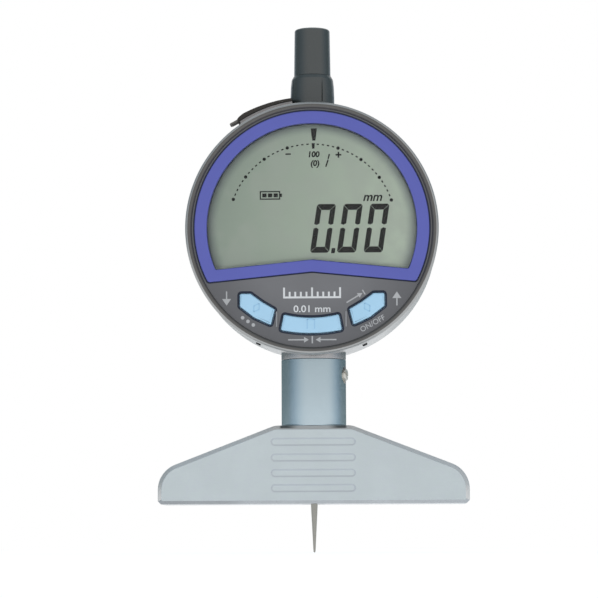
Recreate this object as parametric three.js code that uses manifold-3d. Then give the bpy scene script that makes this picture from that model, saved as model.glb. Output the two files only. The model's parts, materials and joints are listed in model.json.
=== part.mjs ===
// Digital depth gauge: an indicator head with a round dial, clamped by its stem in a
// sleeve that stands in a bridge base. The spindle slides along Z and ends in a needle.
// Millimetres, +Z up along the spindle, the dial faces -Y. The origin is the tip of the
// needle with the spindle fully out.
import * as THREE from 'three';
import { mergeVertices } from 'three/addons/utils/BufferGeometryUtils.js';
import Module from 'manifold-3d';

const wasm = await Module();
wasm.setup();

// ---------------------------------------------------------------- driving dimensions
const NEEDLE_OUT = 11.3;        // needle below the measuring face when the spindle is out
const TRAVEL = 12.5;            // spindle travel
const DIAL_Z = 64.0;            // dial centre above the measuring face

const BASE_HALF = 36.25;        // half length of the base
const BASE_Y = 8.5;             // half depth of the base
const BASE_TOP = 18.2;          // height of the flat top
const BASE_TOP_HALF = 8.97;     // half length of the flat top
const BASE_CHAMFER = 0.95;
const CORNER_R = 6.3;           // round at the outer corners
const CORNER_Z = 3.34;          // where that round starts
const SLANT = 21.13 * Math.PI / 180;
const GROOVE_Z = [3.6, 7.1, 10.7, 14.35];
const GROOVE_H = 1.6;
const GROOVE_HALF = 9.75;
const GROOVE_DEPTH = 0.4;
const BASE_BORE_R = 2.7;        // hole for the needle and its hub
const SEAT_R = 6.05;            // counterbore that takes the sleeve's spigot
const SEAT_Z = 8.8;

const SLEEVE_R = 7.6;
const SLEEVE_TOP = 33.8;
const SPIGOT_R = 5.9;
const STEM_R = 4.0;
const STEM_BORE = 4.15;         // bore that the stem sits in
const STEM_BOTTOM = 18.6;
const STEM_TOP = 41.0;
const CLAMP_Z = 30.35;
const CLAMP_R = 1.5;
const CLAMP_END = 7.95;         // the screw's outer end, from the sleeve's axis
const CLAMP_ANGLE = 18 * Math.PI / 180; // clamp screw: from +X towards the front

const SPINDLE_R = 2.0;
const BUSH_BORE = 2.06;
const SPINDLE_BOTTOM = 5.1;
const SPINDLE_TOP = 98.6;

const RING_R = 29.5;            // bezel ring, outer
const RING_IN = 27.98;
const FRONT_Y = -13.2;
const CASE_R = 29.3;
const CASE_IN = 26.9;
const CASE_FRONT = -9.6;
const CASE_BACK = 10.9;
const SPIGOT_OUT = 27.8;        // front spigot of the case, inside the bezel ring
const BACK_Y = 13.2;
const PANEL_R = 27.65;
const PANEL_Y = -12.6;
const PANEL_BACK = -11.2;

const FRAME_R = 27.33;          // window frame outline: a circle cut by a shallow chevron
const FRAME_A = 10.35;
const FRAME_B = 0.098;
const WIN_R = 24.45;
const WIN_A = 7.55;
const WIN_B = 0.100;

const BUTTON_FRONT = -13.0;
const BUTTON_TRAVEL = 0.4;

const BOSS_R = 24.4;            // four screw bosses inside the case
const BOSS_ANGLES = [45, 135, 225, 315];
const SIDE_SCREW_ANGLE = (s) => (s < 0 ? 25.9 : 24.4) * Math.PI / 180; // side screws, each side of the bottom
const SIDE_SCREW_Y = -4.0;
const SIDE_SCREW_R = 0.6;
const SIDE_SCREW_END = 29.65;   // they stand a little proud of the case

const PORT_ANGLE = -21.5 * Math.PI / 180;      // data port, left of the top
const PORT_R = 31.0;
const COVER_R0 = 31.1;
const COVER_R1 = [[-8.5, 31.95], [-20.8, 32.17], [-30.0, 32.4], [-33.6, 32.1]]; // outer radius by angle from the top
const COVER_HINGE = -12.75 * Math.PI / 180;
const COVER_END = -33.6 * Math.PI / 180;

const COLLAR_R = 5.2;
const COLLAR_TOP = 101.5;
const CAP_TOP = 112.75;

// ---------------------------------------------------------------- helpers
function solid(geometry) {
  let g = geometry.index ? geometry.toNonIndexed() : geometry.clone();
  for (const n of Object.keys(g.attributes)) if (n !== 'position') g.deleteAttribute(n);
  g = mergeVertices(g, 1e-4);
  const p = g.attributes.position.array, idx = g.index.array, tris = [];
  let vol = 0;
  for (let i = 0; i < idx.length; i += 3) {
    const a = idx[i], b = idx[i + 1], c = idx[i + 2];
    if (a === b || b === c || a === c) continue;
    tris.push(a, b, c);
    const A = a * 3, B = b * 3, C = c * 3;
    vol += p[A] * (p[B + 1] * p[C + 2] - p[B + 2] * p[C + 1])
         - p[A + 1] * (p[B] * p[C + 2] - p[B + 2] * p[C])
         + p[A + 2] * (p[B] * p[C + 1] - p[B + 1] * p[C]);
  }
  if (vol < 0) for (let i = 0; i < tris.length; i += 3) [tris[i + 1], tris[i + 2]] = [tris[i + 2], tris[i + 1]];
  return new wasm.Manifold(new wasm.Mesh({
    numProp: 3, vertProperties: new Float32Array(p), triVerts: new Uint32Array(tris),
  }));
}
function geometryOf(manifold) {
  const m = manifold.getMesh();
  const g = new THREE.BufferGeometry();
  const v = new Float32Array(m.numVert * 3);
  for (let i = 0; i < m.numVert; i++) for (let k = 0; k < 3; k++) v[i * 3 + k] = m.vertProperties[i * m.numProp + k];
  g.setAttribute('position', new THREE.BufferAttribute(v, 3));
  g.setIndex(new THREE.BufferAttribute(new Uint32Array(m.triVerts), 1));
  g.computeVertexNormals();
  return g;
}
const V = (x, y) => new THREE.Vector2(x, y);
const box = (x0, x1, y0, y1, z0, z1) => solid(new THREE.BoxGeometry(x1 - x0, y1 - y0, z1 - z0)
  .translate((x0 + x1) / 2, (y0 + y1) / 2, (z0 + z1) / 2));
const cylY = (r, y0, y1, x = 0, z = 0, seg = 16) => solid(new THREE.CylinderGeometry(r, r, y1 - y0, seg)
  .translate(x, (y0 + y1) / 2, z));
const cylZ = (r, z0, z1, x = 0, y = 0, seg = 24) => solid(new THREE.CylinderGeometry(r, r, z1 - z0, seg)
  .rotateX(Math.PI / 2).translate(x, y, (z0 + z1) / 2));
const cylX = (r, x0, x1, y = 0, z = 0, seg = 12) => solid(new THREE.CylinderGeometry(r, r, x1 - x0, seg)
  .rotateZ(Math.PI / 2).translate((x0 + x1) / 2, y, z));
// a profile of [radius, y] turned round the Y axis, or of [radius, z] round the Z axis
const turnY = (profile, seg = 48) => solid(new THREE.LatheGeometry(profile.map(([r, h]) => V(r, h)), seg));
const turnZ = (profile, seg = 24) => solid(new THREE.LatheGeometry(profile.map(([r, h]) => V(r, h)), seg)
  .rotateX(Math.PI / 2));
// a flat outline in X and Z, from y0 to y1
const slab = (shape, y0, y1, seg = 12) => solid(new THREE.ExtrudeGeometry(shape, {
  depth: y1 - y0, bevelEnabled: false, curveSegments: seg,
}).rotateX(Math.PI / 2).translate(0, y1, 0));
const polygon = (points) => new THREE.Shape(points.map(([x, z]) => V(x, z)));
// a solid along the radius at angle a from +Z towards +X (negative: towards -X), made upright first
function turned(manifold, a) { return manifold.rotate([0, a * 180 / Math.PI, 0]); }
// a ring sector between two radii and two angles from +Z
function sector(r0, r1, a0, a1, y0, y1, n = 10) {
  const pts = [];
  for (let i = 0; i <= n; i++) { const a = a0 + (a1 - a0) * i / n; pts.push([r1 * Math.sin(a), r1 * Math.cos(a)]); }
  for (let i = n; i >= 0; i--) { const a = a0 + (a1 - a0) * i / n; pts.push([r0 * Math.sin(a), r0 * Math.cos(a)]); }
  return slab(polygon(pts), y0, y1);
}
// circle of radius r cut below by the chevron z = -(a + b|x|); off grows it all round
function chevronDisc(r0, a0, b, off = 0, n = 44) {
  const r = r0 + off, a = a0 + off * Math.sqrt(1 + b * b);
  let x = r;
  for (let i = 0; i < 60; i++) x = Math.sqrt(Math.max(0, r * r - (a + b * x) ** 2));
  const start = Math.atan2(-(a + b * x), x), end = Math.PI - start;
  const pts = [];
  for (let i = 0; i <= n; i++) { const t = start + (end - start) * i / n; pts.push([r * Math.cos(t), r * Math.sin(t)]); }
  pts.push([0, -a]);
  return polygon(pts);
}
// moves every edge of a closed outline outwards by off
function grown(points, off) {
  const n = points.length;
  let area = 0;
  for (let i = 0; i < n; i++) { const [x0, z0] = points[i], [x1, z1] = points[(i + 1) % n]; area += x0 * z1 - x1 * z0; }
  const s = area > 0 ? 1 : -1;
  return points.map((p, i) => {
    const a = points[(i + n - 1) % n], b = points[(i + 1) % n];
    const u = V(p[0] - a[0], p[1] - a[1]).normalize(), w = V(b[0] - p[0], b[1] - p[1]).normalize();
    const n1 = V(u.y * s, -u.x * s), n2 = V(w.y * s, -w.x * s), m = n1.clone().add(n2).normalize();
    const k = off / Math.max(0.5, m.dot(n1));
    return [p[0] + m.x * k, p[1] + m.y * k];
  });
}

const finish = (color, roughness, metalness) => new THREE.MeshStandardMaterial({ color, roughness, metalness });
const M = {
  base: finish(0xbfc8cb, 0.42, 0.6),
  sleeve: finish(0x9fb2bb, 0.3, 0.85),
  steel: finish(0xb9bcbc, 0.25, 1.0),
  needle: finish(0x9a988f, 0.3, 1.0),
  silver: finish(0xb4b5b4, 0.4, 0.6),
  ring: finish(0x96938f, 0.28, 0.9),
  panel: finish(0x707074, 0.5, 0.0),
  blue: finish(0x5c61b2, 0.4, 0.0),
  lens: finish(0xe8efe8, 0.05, 0.0),
  lcd: finish(0x93a093, 0.35, 0.0),
  button: finish(0xa6cfea, 0.35, 0.0),
  dark: finish(0x4c5252, 0.55, 0.0),
  rubber: finish(0x3c3733, 0.8, 0.0),
  black: finish(0x202224, 0.5, 0.0),
  brass: finish(0xb59a5b, 0.35, 1.0),
  board: finish(0x2d6a44, 0.5, 0.1),
  white: finish(0xd9d9d4, 0.6, 0.0),
  alu: finish(0xa9adb0, 0.4, 0.9),
};

const gauge = new THREE.Group();
gauge.position.z = NEEDLE_OUT;            // the measuring face lies this far above the needle tip
const stand = new THREE.Group();          // heights above the measuring face
const dial = new THREE.Group();           // heights from the dial centre
dial.position.z = DIAL_Z;
gauge.add(stand, dial);
function add(group, name, manifold, material) {
  const mesh = new THREE.Mesh(geometryOf(manifold), material);
  mesh.name = name;
  group.add(mesh);
  return mesh;
}

// ---------------------------------------------------------------- base and sleeve
{
  const c = BASE_CHAMFER, s = new THREE.Shape(), cx = BASE_HALF - CORNER_R, up = Math.PI / 2 - SLANT;
  s.moveTo(-BASE_HALF + 0.7, 0);
  s.lineTo(BASE_HALF - 0.7, 0);
  s.lineTo(BASE_HALF, 0.7);
  s.absarc(cx, CORNER_Z, CORNER_R, 0, up, false);
  s.lineTo(BASE_TOP_HALF, BASE_TOP);
  s.lineTo(-BASE_TOP_HALF, BASE_TOP);
  s.absarc(-cx, CORNER_Z, CORNER_R, Math.PI - up, Math.PI, false);
  s.lineTo(-BASE_HALF, 0.7);
  let base = solid(new THREE.ExtrudeGeometry(s, {
    depth: 2 * (BASE_Y - c), curveSegments: 8, bevelEnabled: true,
    bevelThickness: c, bevelSize: c, bevelOffset: -c, bevelSegments: 1,
  }).rotateX(Math.PI / 2).translate(0, BASE_Y - c, 0));
  for (const z of GROOVE_Z) {
    const g = new THREE.Shape(), h = GROOVE_H / 2, x = GROOVE_HALF - h;
    g.moveTo(-x, z - h);
    g.lineTo(x, z - h);
    g.absarc(x, z, h, -Math.PI / 2, Math.PI / 2, false);
    g.lineTo(-x, z + h);
    g.absarc(-x, z, h, Math.PI / 2, Math.PI * 1.5, false);
    base = base.subtract(slab(g, -BASE_Y - 1, -BASE_Y + GROOVE_DEPTH, 4))
               .subtract(slab(g, BASE_Y - GROOVE_DEPTH, BASE_Y + 1, 4));
  }
  base = base.subtract(cylZ(BASE_BORE_R, -1, SEAT_Z + 1))
             .subtract(cylZ(SEAT_R, SEAT_Z, BASE_TOP + 1))
             .subtract(cylY(1.6, 5.4, BASE_Y + 1, 0, 12.5, 12));
  add(stand, 'base', base, M.base);

  // set screw that locks the sleeve's spigot, from the back of the base
  const screw = cylY(1.45, 6.15, 8.0, 0, 12.5, 12).subtract(cylY(0.7, 7.1, 8.5, 0, 12.5, 6));
  add(stand, 'base_set_screw', screw, M.black);

  let sleeve = turnZ([[3.1, 9.0], [SPIGOT_R, 9.0], [SPIGOT_R, BASE_TOP + 0.1], [SLEEVE_R - 0.4, BASE_TOP + 0.1],
    [SLEEVE_R, BASE_TOP + 0.5], [SLEEVE_R, SLEEVE_TOP - 0.3], [SLEEVE_R - 0.3, SLEEVE_TOP],
    [STEM_BORE, SLEEVE_TOP], [STEM_BORE, 18.4], [3.1, 18.4], [3.1, 9.0]], 36);
  const place = (m) => m.rotate([0, 0, -CLAMP_ANGLE * 180 / Math.PI]);
  sleeve = sleeve.subtract(place(cylX(CLAMP_R + 0.2, 3.2, 10, 0, CLAMP_Z, 14)));
  add(stand, 'sleeve', sleeve, M.sleeve);
  const slot = box(CLAMP_END - 0.6, 9, -2.5, 2.5, -0.3, 0.3).rotate([-55, 0, 0]).translate([0, 0, CLAMP_Z]);
  const clamp = place(cylX(CLAMP_R, 4.35, CLAMP_END, 0, CLAMP_Z, 14).subtract(slot));
  add(stand, 'sleeve_clamp_screw', clamp, M.brass);
}

// ---------------------------------------------------------------- stem, spindle and what rides on it
add(stand, 'indicator_stem', turnZ([[2.95, STEM_BOTTOM], [3.7, STEM_BOTTOM], [STEM_R, STEM_BOTTOM + 0.3],
  [STEM_R, STEM_TOP], [2.4, STEM_TOP], [2.4, STEM_BOTTOM + 6.2], [2.95, STEM_BOTTOM + 6.2], [2.95, STEM_BOTTOM]]), M.steel);
add(stand, 'lower_bush', turnZ([[BUSH_BORE, STEM_BOTTOM + 0.1], [2.85, STEM_BOTTOM + 0.1], [2.85, STEM_BOTTOM + 6.0],
  [BUSH_BORE, STEM_BOTTOM + 6.0], [BUSH_BORE, STEM_BOTTOM + 0.1]]), M.brass);
add(stand, 'upper_bush', turnZ([[BUSH_BORE, 86.3], [2.88, 86.3], [2.88, 95.8], [BUSH_BORE, 95.8], [BUSH_BORE, 86.3]]), M.brass);
add(stand, 'spindle', turnZ([[0, SPINDLE_BOTTOM], [1.7, SPINDLE_BOTTOM], [SPINDLE_R, SPINDLE_BOTTOM + 0.3],
  [SPINDLE_R, SPINDLE_TOP - 0.4], [1.6, SPINDLE_TOP], [0, SPINDLE_TOP]]), M.steel);
add(stand, 'contact_needle', turnZ([[0, -NEEDLE_OUT], [0.1, -NEEDLE_OUT + 0.05], [0.16, -NEEDLE_OUT + 0.2], [0.85, 0.2],
  [0.85, 1.0], [1.9, 1.3], [2.2, 1.6], [2.2, 4.7], [1.9, 5.0], [0, 5.0]], 16), M.needle);

{
  // carriage clamped on the spindle, with the scale on its front and a guide pin on its back
  const z0 = -14, z1 = -6, zs = -8, zp = -10;
  const carriage = box(-5, 5, -4.2, 4.8, z0, z1).subtract(cylZ(2.08, z0 - 1, z1 + 1))
    .subtract(cylX(1.1, 0, 6, 0, zs)).subtract(cylY(1.08, 2.5, 6, 0, zp, 12));
  add(dial, 'scale_carriage', carriage, M.alu);
  add(dial, 'carriage_screw', cylX(0.95, 2.4, 5.4, 0, zs), M.steel);
  add(dial, 'guide_pin', cylY(0.98, 2.7, 6.8, 0, zp, 12), M.steel);
  add(dial, 'scale_strip', box(-1.6, 1.6, -4.9, -4.3, -18, 12), M.lens);
  add(dial, 'reader_board', box(-7, 7, -6.4, -5.6, -9, 9), M.board);
  // plate whose slot keeps the spindle from turning
  let plate = box(-4.6, 4.6, 5.7, 6.9, -25.2, 26.0).subtract(box(-1.2, 1.2, 5, 8, -11.7, 4.2));
  const screws = [['guide_plate_screw_lower', -23.9, 4.4], ['guide_plate_screw_upper', 24.5, 3.7]];
  for (const [, z] of screws) plate = plate.subtract(cylY(0.95, 5, 8, 0, z, 10));
  for (const [name, z, y] of screws)
    add(dial, name, cylY(0.8, y, 7.05, 0, z, 10).add(cylY(1.5, 7.0, 7.6, 0, z, 12)), M.steel);
  add(dial, 'guide_plate', plate, M.alu);
  // return spring round the spindle, between the carriage and the top of the case
  const turns = 11, za = z1 + 0.35, zb = 21.65, r = 2.75;
  class Helix extends THREE.Curve {
    getPoint(t, out = new THREE.Vector3()) {
      const a = t * turns * 2 * Math.PI;
      return out.set(r * Math.cos(a), r * Math.sin(a), za + (zb - za) * t);
    }
  }
  const wire = new THREE.Shape();
  for (let i = 0; i < 5; i++) {
    const a = i * Math.PI / 2.5, x = 0.25 * Math.cos(a), y = 0.25 * Math.sin(a);
    if (i) wire.lineTo(x, y); else wire.moveTo(x, y);
  }
  add(dial, 'return_spring', solid(new THREE.ExtrudeGeometry(wire, {
    steps: turns * 10, extrudePath: new Helix(), bevelEnabled: false,
  })), M.steel);
}

// ---------------------------------------------------------------- case
const onCircle = (deg, r = BOSS_R) => [r * Math.cos(deg * Math.PI / 180), r * Math.sin(deg * Math.PI / 180)];
const sideHole = (s, r, r0, r1) => turned(cylZ(r, r0, r1, 0, SIDE_SCREW_Y, 10), Math.PI - s * SIDE_SCREW_ANGLE(s));
{
  let body = turnY([[26.4, -11.05], [SPIGOT_OUT, -11.05], [SPIGOT_OUT, CASE_FRONT], [CASE_R, CASE_FRONT], [CASE_R, 9.9], [CASE_R - 0.1, 10.5], [28.95, CASE_BACK], [CASE_IN, CASE_BACK], [CASE_IN, -9.0], [26.4, -9.0], [26.4, -11.05]], 60);
  for (const a of BOSS_ANGLES) { const [x, z] = onCircle(a); body = body.add(cylY(2.6, -7.8, 9.2, x, z, 12)); }
  // neck below, as wide as the sleeve, and threaded neck above
  body = body.add(cylZ(SLEEVE_R, SLEEVE_TOP + 0.15 - DIAL_Z, -27.2, 0, 0, 36));
  body = body.add(cylZ(3.9, 27.5, 32.0)).add(box(-6.5, 6.5, -3.9, 5.5, 22.0, 27.5).intersect(cylY(27.5, -5, 6, 0, 0, 60)));
  // raised seat of the data port
  body = body.add(sector(28.5, PORT_R, -8.6 * Math.PI / 180, -33 * Math.PI / 180, -5.2, 5.2).subtract(cylZ(COLLAR_R + 0.35, 20, 40, 0, 0, 32)));
  body = body.subtract(turned(box(-4.3, 4.3, -2.3, 2.3, 25, 34), PORT_ANGLE));
  body = body.subtract(cylZ(STEM_BORE, -32, -25)).subtract(cylZ(2.98, 20, 34));
  body = body.subtract(cylY(0.95, 3.55, 6, 0, 24.5, 10));
  for (const a of BOSS_ANGLES) { const [x, z] = onCircle(a); body = body.subtract(cylY(1.1, -9, 10, x, z, 10)); }
  for (const s of [-1, 1]) body = body.subtract(sideHole(s, SIDE_SCREW_R + 0.15, 24, 32));
  add(dial, 'case_body', body, M.silver);

  // block that holds the stem inside the bottom of the case
  const a = Math.acos(13 / 26.7), pts = [[-13, -21.2]];
  for (let i = 0; i <= 14; i++) { const t = Math.PI + a + (Math.PI - 2 * a) * i / 14; pts.push([26.7 * Math.cos(t), 26.7 * Math.sin(t)]); }
  pts.push([13, -21.2]);
  let block = slab(polygon(pts), -5.6, 5.5).subtract(cylZ(STEM_BORE, -30, -20)).subtract(cylY(0.95, 4.25, 6, 0, -23.9, 10));
  for (const s of [-1, 1]) block = block.subtract(sideHole(s, SIDE_SCREW_R + 0.15, 20, 30));
  add(dial, 'stem_block', block, M.alu);
  for (const [s, name] of [[-1, 'case_side_screw_left'], [1, 'case_side_screw_right']]) {
    const screw = turned(cylZ(SIDE_SCREW_R, 24.3, SIDE_SCREW_END, 0, SIDE_SCREW_Y, 10).subtract(cylZ(0.3, 28.9, 30, 0, SIDE_SCREW_Y, 6)),
      Math.PI - s * SIDE_SCREW_ANGLE(s));
    add(dial, name, screw, M.black);
  }
}

// ---------------------------------------------------------------- front: ring, panel, window, display
add(dial, 'bezel_ring', turnY([[RING_IN, CASE_FRONT - 0.2], [RING_IN, FRONT_Y + 0.25], [RING_IN + 0.25, FRONT_Y], [RING_R - 0.6, FRONT_Y],
  [RING_R, FRONT_Y + 0.7], [RING_R, CASE_FRONT - 0.2], [RING_IN, CASE_FRONT - 0.2]], 64), M.ring);

const side = [[16.87, -18.45], [16.85, -15.33], [14.25, -15.33], [8.55, -19.07], [9.53, -22.87]];
const middle = [];
for (let i = 0; i <= 8; i++) { const t = i / 8 * 2 - 1; middle.push([-0.2 + 6.45 * t, -21.0 + 0.8 * t * t]); }
for (let i = 8; i >= 0; i--) { const t = i / 8 * 2 - 1; middle.push([-0.2 + 7.2 * t, -24.75 + 0.75 * t * t]); }
const buttons = [
  ['button_left', side.map(([x, z]) => [-x, z]).reverse(), [-12.6, -18.9]],
  ['button_middle', middle, [0, -22.6]],
  ['button_right', side, [12.6, -18.9]],
];
{
  let panel = cylY(PANEL_R, PANEL_Y, PANEL_BACK, 0, 0, 60);
  panel = panel.subtract(slab(chevronDisc(FRAME_R, FRAME_A, FRAME_B, 0.12), PANEL_Y - 1, -11.8))
               .subtract(slab(chevronDisc(WIN_R, WIN_A, WIN_B, -0.25), PANEL_Y - 1, PANEL_BACK + 1));
  for (const [, pts] of buttons) panel = panel.subtract(slab(polygon(grown(pts, 0.15)), PANEL_Y - 1, PANEL_BACK + 1));
  add(dial, 'front_panel', panel, M.panel);
  const frame = slab(chevronDisc(FRAME_R, FRAME_A, FRAME_B), -12.95, -11.9)
    .subtract(slab(chevronDisc(WIN_R, WIN_A, WIN_B), -14, -11));
  add(dial, 'window_frame', frame, M.blue);
  add(dial, 'window_lens', slab(chevronDisc(WIN_R, WIN_A, WIN_B, -0.12), -12.6, -11.9), M.lens);
  for (const [name, pts, [x, z]] of buttons) {
    add(dial, name, slab(polygon(pts), BUTTON_FRONT, -10.9).add(slab(polygon(grown(pts, 0.45)), -11.1, -10.5)), M.button);
    const switchName = name.replace('button', 'dome_switch');
    add(dial, switchName, turnY([[0, -9.9], [0.9, -9.85], [1.7, -9.5], [2.1, -8.98], [0, -8.98]], 12)
      .translate([x, 0, z]), M.steel);
  }
  add(dial, 'lcd_panel', cylY(25.3, -11.0, -9.95, 0, 0, 48).subtract(box(-30, 30, -12, -9, -30, -12.0)), M.lcd);
  add(dial, 'lcd_frame', cylY(22.2, -9.85, -9.05, 0, 0, 36).subtract(box(-30, 30, -12, -8, -30, -9.5)), M.white);
  add(dial, 'display_connector', box(-17, 17, -9.88, -8.95, -11.7, -9.9), M.rubber);
  let board = cylY(25.9, -8.9, -7.9, 0, 0, 44);
  for (const a of BOSS_ANGLES) { const [x, z] = onCircle(a); board = board.subtract(cylY(1.1, -10, -7, x, z, 10)); }
  add(dial, 'main_board', board, M.board);
  add(dial, 'display_chip', box(-5, 5, -7.8, -6.8, -19.5, -12.5), M.black);
  BOSS_ANGLES.forEach((a, i) => {
    const [x, z] = onCircle(a);
    add(dial, `board_screw_${i + 1}`, cylY(0.9, -8.95, -4, x, z, 8).add(cylY(1.7, -9.55, -8.95, x, z, 10)), M.steel);
  });
}

// ---------------------------------------------------------------- back: cover, battery
{
  let cover = turnY([[0, 11.6], [25.4, 11.6], [25.4, 9.6], [26.65, 9.6], [26.65, 11.0], [28.95, 11.0], [28.95, 12.1],
    [28.6, 12.8], [27.8, BACK_Y], [0, BACK_Y]], 60);
  for (const a of BOSS_ANGLES) { const [x, z] = onCircle(a); cover = cover.add(cylY(2.5, 9.3, 11.8, x, z, 12).intersect(cylY(26.65, 9, 12, 0, 0, 60))); }
  for (const a of BOSS_ANGLES) {
    const [x, z] = onCircle(a);
    cover = cover.subtract(cylY(1.1, 9, 14, x, z, 10)).subtract(cylY(2.05, 12.3, 14, x, z, 14));
  }
  cover = cover.subtract(cylY(12.2, 11, 14, 0, 0, 40));
  const D = Math.PI / 180;
  for (const a of [30, 210]) cover = cover.subtract(sector(8, 13.5, (a - 18) * D, (a + 18) * D, 11, 14, 8));
  add(dial, 'back_cover', cover, M.dark);
  BOSS_ANGLES.forEach((a, i) => {
    const [x, z] = onCircle(a);
    const screw = cylY(0.95, 5.0, 12.45, x, z, 10).add(cylY(1.9, 12.4, 13.1, x, z, 14))
      .subtract(box(x - 0.22, x + 0.22, 12.75, 14, z - 1.3, z + 1.3)).subtract(box(x - 1.3, x + 1.3, 12.75, 14, z - 0.22, z + 0.22));
    add(dial, `back_cover_screw_${i + 1}`, screw, M.steel);
  });
  add(dial, 'battery_holder', cylY(11.6, 7.65, 10.7, 0, 0, 28).subtract(cylY(10.25, 7.0, 12, 0, 0, 28))
    .add(cylY(11.6, 7.7, 7.95, 0, 0, 28).subtract(box(-2.6, 2.6, 7, 9, -10.4, 10.4))), M.black);
  add(dial, 'battery_contact', box(-2.2, 2.2, 7.72, 7.97, -9.6, 9.6), M.brass);
  add(dial, 'coin_cell', turnY([[0, 8.15], [8.4, 8.15], [8.7, 8.4], [10.0, 8.4], [10.0, 10.5], [9.8, 10.7], [0, 10.7]], 28), M.steel);
  let lid = cylY(12.0, 11.75, 13.1, 0, 0, 40).add(cylY(11.3, 10.95, 11.8, 0, 0, 40));
  for (const a of [90, 270]) lid = lid.add(sector(10.5, 13.2, (a - 14) * D, (a + 14) * D, 10.95, 11.5, 8));
  lid = lid.subtract(box(-7.5, 7.5, 12.3, 14, -0.8, 0.8));
  add(dial, 'battery_cover', lid, M.dark);
}

// ---------------------------------------------------------------- data port
{
  const socket = turned(box(-4.05, 4.05, -2.05, 2.05, 26.2, 29.9).subtract(box(-3.3, 3.3, -0.8, 0.8, 27.7, 31)), PORT_ANGLE);
  add(dial, 'data_socket', socket, M.black);
  const D = Math.PI / 180;
  // bent strip whose thickness follows COVER_R1
  const outer = (a) => {
    const i = a / D > COVER_R1[1][0] ? 0 : a / D > COVER_R1[2][0] ? 1 : 2, [a0, r0] = COVER_R1[i], [a1, r1] = COVER_R1[i + 1];
    return r0 + (r1 - r0) * (a / D - a0) / (a1 - a0);
  };
  const strip = (a0, a1, n) => {
    const angles = Array.from({ length: n + 1 }, (_, i) => a0 + (a1 - a0) * i / n);
    const pts = angles.map((a) => [outer(a) * Math.sin(a), outer(a) * Math.cos(a)]);
    for (const a of angles.reverse()) pts.push([COVER_R0 * Math.sin(a), COVER_R0 * Math.cos(a)]);
    return slab(polygon(pts), -5.6, 5.6);
  };
  // its fixed end reaches round the collar of the cap
  add(dial, 'port_cover_anchor', strip(-8.5 * D, COVER_HINGE + 0.2 * D, 3)
    .subtract(cylZ(COLLAR_R + 0.35, 20, 40, 0, 0, 32)), M.rubber);
  let flap = strip(COVER_HINGE - 0.2 * D, COVER_END, 12);
  // pull tab, straight on from the end of the flap
  flap = flap.add(turned(box(-2.7, 0.3, -3.0, 3.0, COVER_R0 + 0.25, COVER_R0 + 0.85), COVER_END));
  // plug on the inside
  flap = flap.add(turned(box(-2.6, 2.6, -1.85, 1.85, 30.15, COVER_R0 + 0.4), PORT_ANGLE));
  add(dial, 'port_cover', flap, M.rubber);
}

// ---------------------------------------------------------------- collar and dust cap on top
{
  let collar = turnZ([[4.05, 92.4], [COLLAR_R, 92.4], [COLLAR_R, 96.6], [5.12, 98.6], [4.98, 100.0], [4.83, 100.9], [4.5, COLLAR_TOP - 0.1], [4.25, COLLAR_TOP],
    [4.05, COLLAR_TOP], [4.05, 92.4]], 32)
    .subtract(cylY(CASE_R + 0.2, -8, 8, 0, DIAL_Z, 60));
  for (let k = 0; k < 4; k++) {
    collar = collar.subtract(box(-0.28, 0.28, -6, -4.6, 94.9, 102).rotate([0, 0, 25.7 + 90 * k]));
  }
  add(stand, 'cap_collar', collar, M.dark);
  add(stand, 'dust_cap', turnZ([[0, CAP_TOP], [3.75, CAP_TOP], [4.05, CAP_TOP - 0.1], [4.16, CAP_TOP - 0.4], [4.3, COLLAR_TOP + 0.15],
    [3.9, COLLAR_TOP + 0.15], [3.9, 96.7], [3.3, 96.7], [3.3, 111.6], [0, 111.6]], 32), M.dark);
}

export default gauge;
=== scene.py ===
import bpy, bmesh, json, math
from mathutils import Vector, Matrix
from mathutils.geometry import tessellate_polygon


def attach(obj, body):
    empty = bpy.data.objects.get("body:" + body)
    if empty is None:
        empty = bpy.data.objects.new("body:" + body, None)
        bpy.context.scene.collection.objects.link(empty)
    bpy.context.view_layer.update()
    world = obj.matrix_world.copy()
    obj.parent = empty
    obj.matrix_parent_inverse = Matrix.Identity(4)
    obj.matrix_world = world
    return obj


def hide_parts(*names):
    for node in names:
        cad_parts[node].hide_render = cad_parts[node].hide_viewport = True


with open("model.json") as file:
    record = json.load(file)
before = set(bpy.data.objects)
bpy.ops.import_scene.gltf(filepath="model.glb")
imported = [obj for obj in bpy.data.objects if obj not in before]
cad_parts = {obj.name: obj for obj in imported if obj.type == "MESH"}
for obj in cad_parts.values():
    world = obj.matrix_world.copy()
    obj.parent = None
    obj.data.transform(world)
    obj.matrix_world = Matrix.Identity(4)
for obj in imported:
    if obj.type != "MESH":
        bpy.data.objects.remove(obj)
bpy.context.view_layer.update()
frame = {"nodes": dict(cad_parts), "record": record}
cad = frame["nodes"]
scene = bpy.context.scene

MM = 0.001
STAND = 11.3        # height of the measuring face above the needle tip
DIAL = 75.3         # height of the dial centre above the needle tip
D = math.pi / 180

# ------------------------------------------------------------------ camera
yaw, pitch, roll = -0.0282938, 0.0902122, -0.0042000
forward = Vector((math.sin(yaw) * math.cos(pitch), math.cos(yaw) * math.cos(pitch), math.sin(pitch)))
right = Vector((math.cos(yaw), -math.sin(yaw), 0))
up = right.cross(forward)
right2 = right * math.cos(roll) + up * math.sin(roll)
up2 = -right * math.sin(roll) + up * math.cos(roll)
cam_data = bpy.data.cameras.new("camera")
cam = bpy.data.objects.new("camera", cam_data)
scene.collection.objects.link(cam)
cam_data.sensor_width = 36.0
cam_data.lens = 2760.5 * 36.0 / 598
cam_data.clip_start = 0.01
cam_data.clip_end = 50
m = Matrix((right2, up2, -forward)).transposed().to_4x4()
m.translation = Vector((0.015, -0.650, 0.0009))
cam.matrix_world = m
scene.camera = cam

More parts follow.
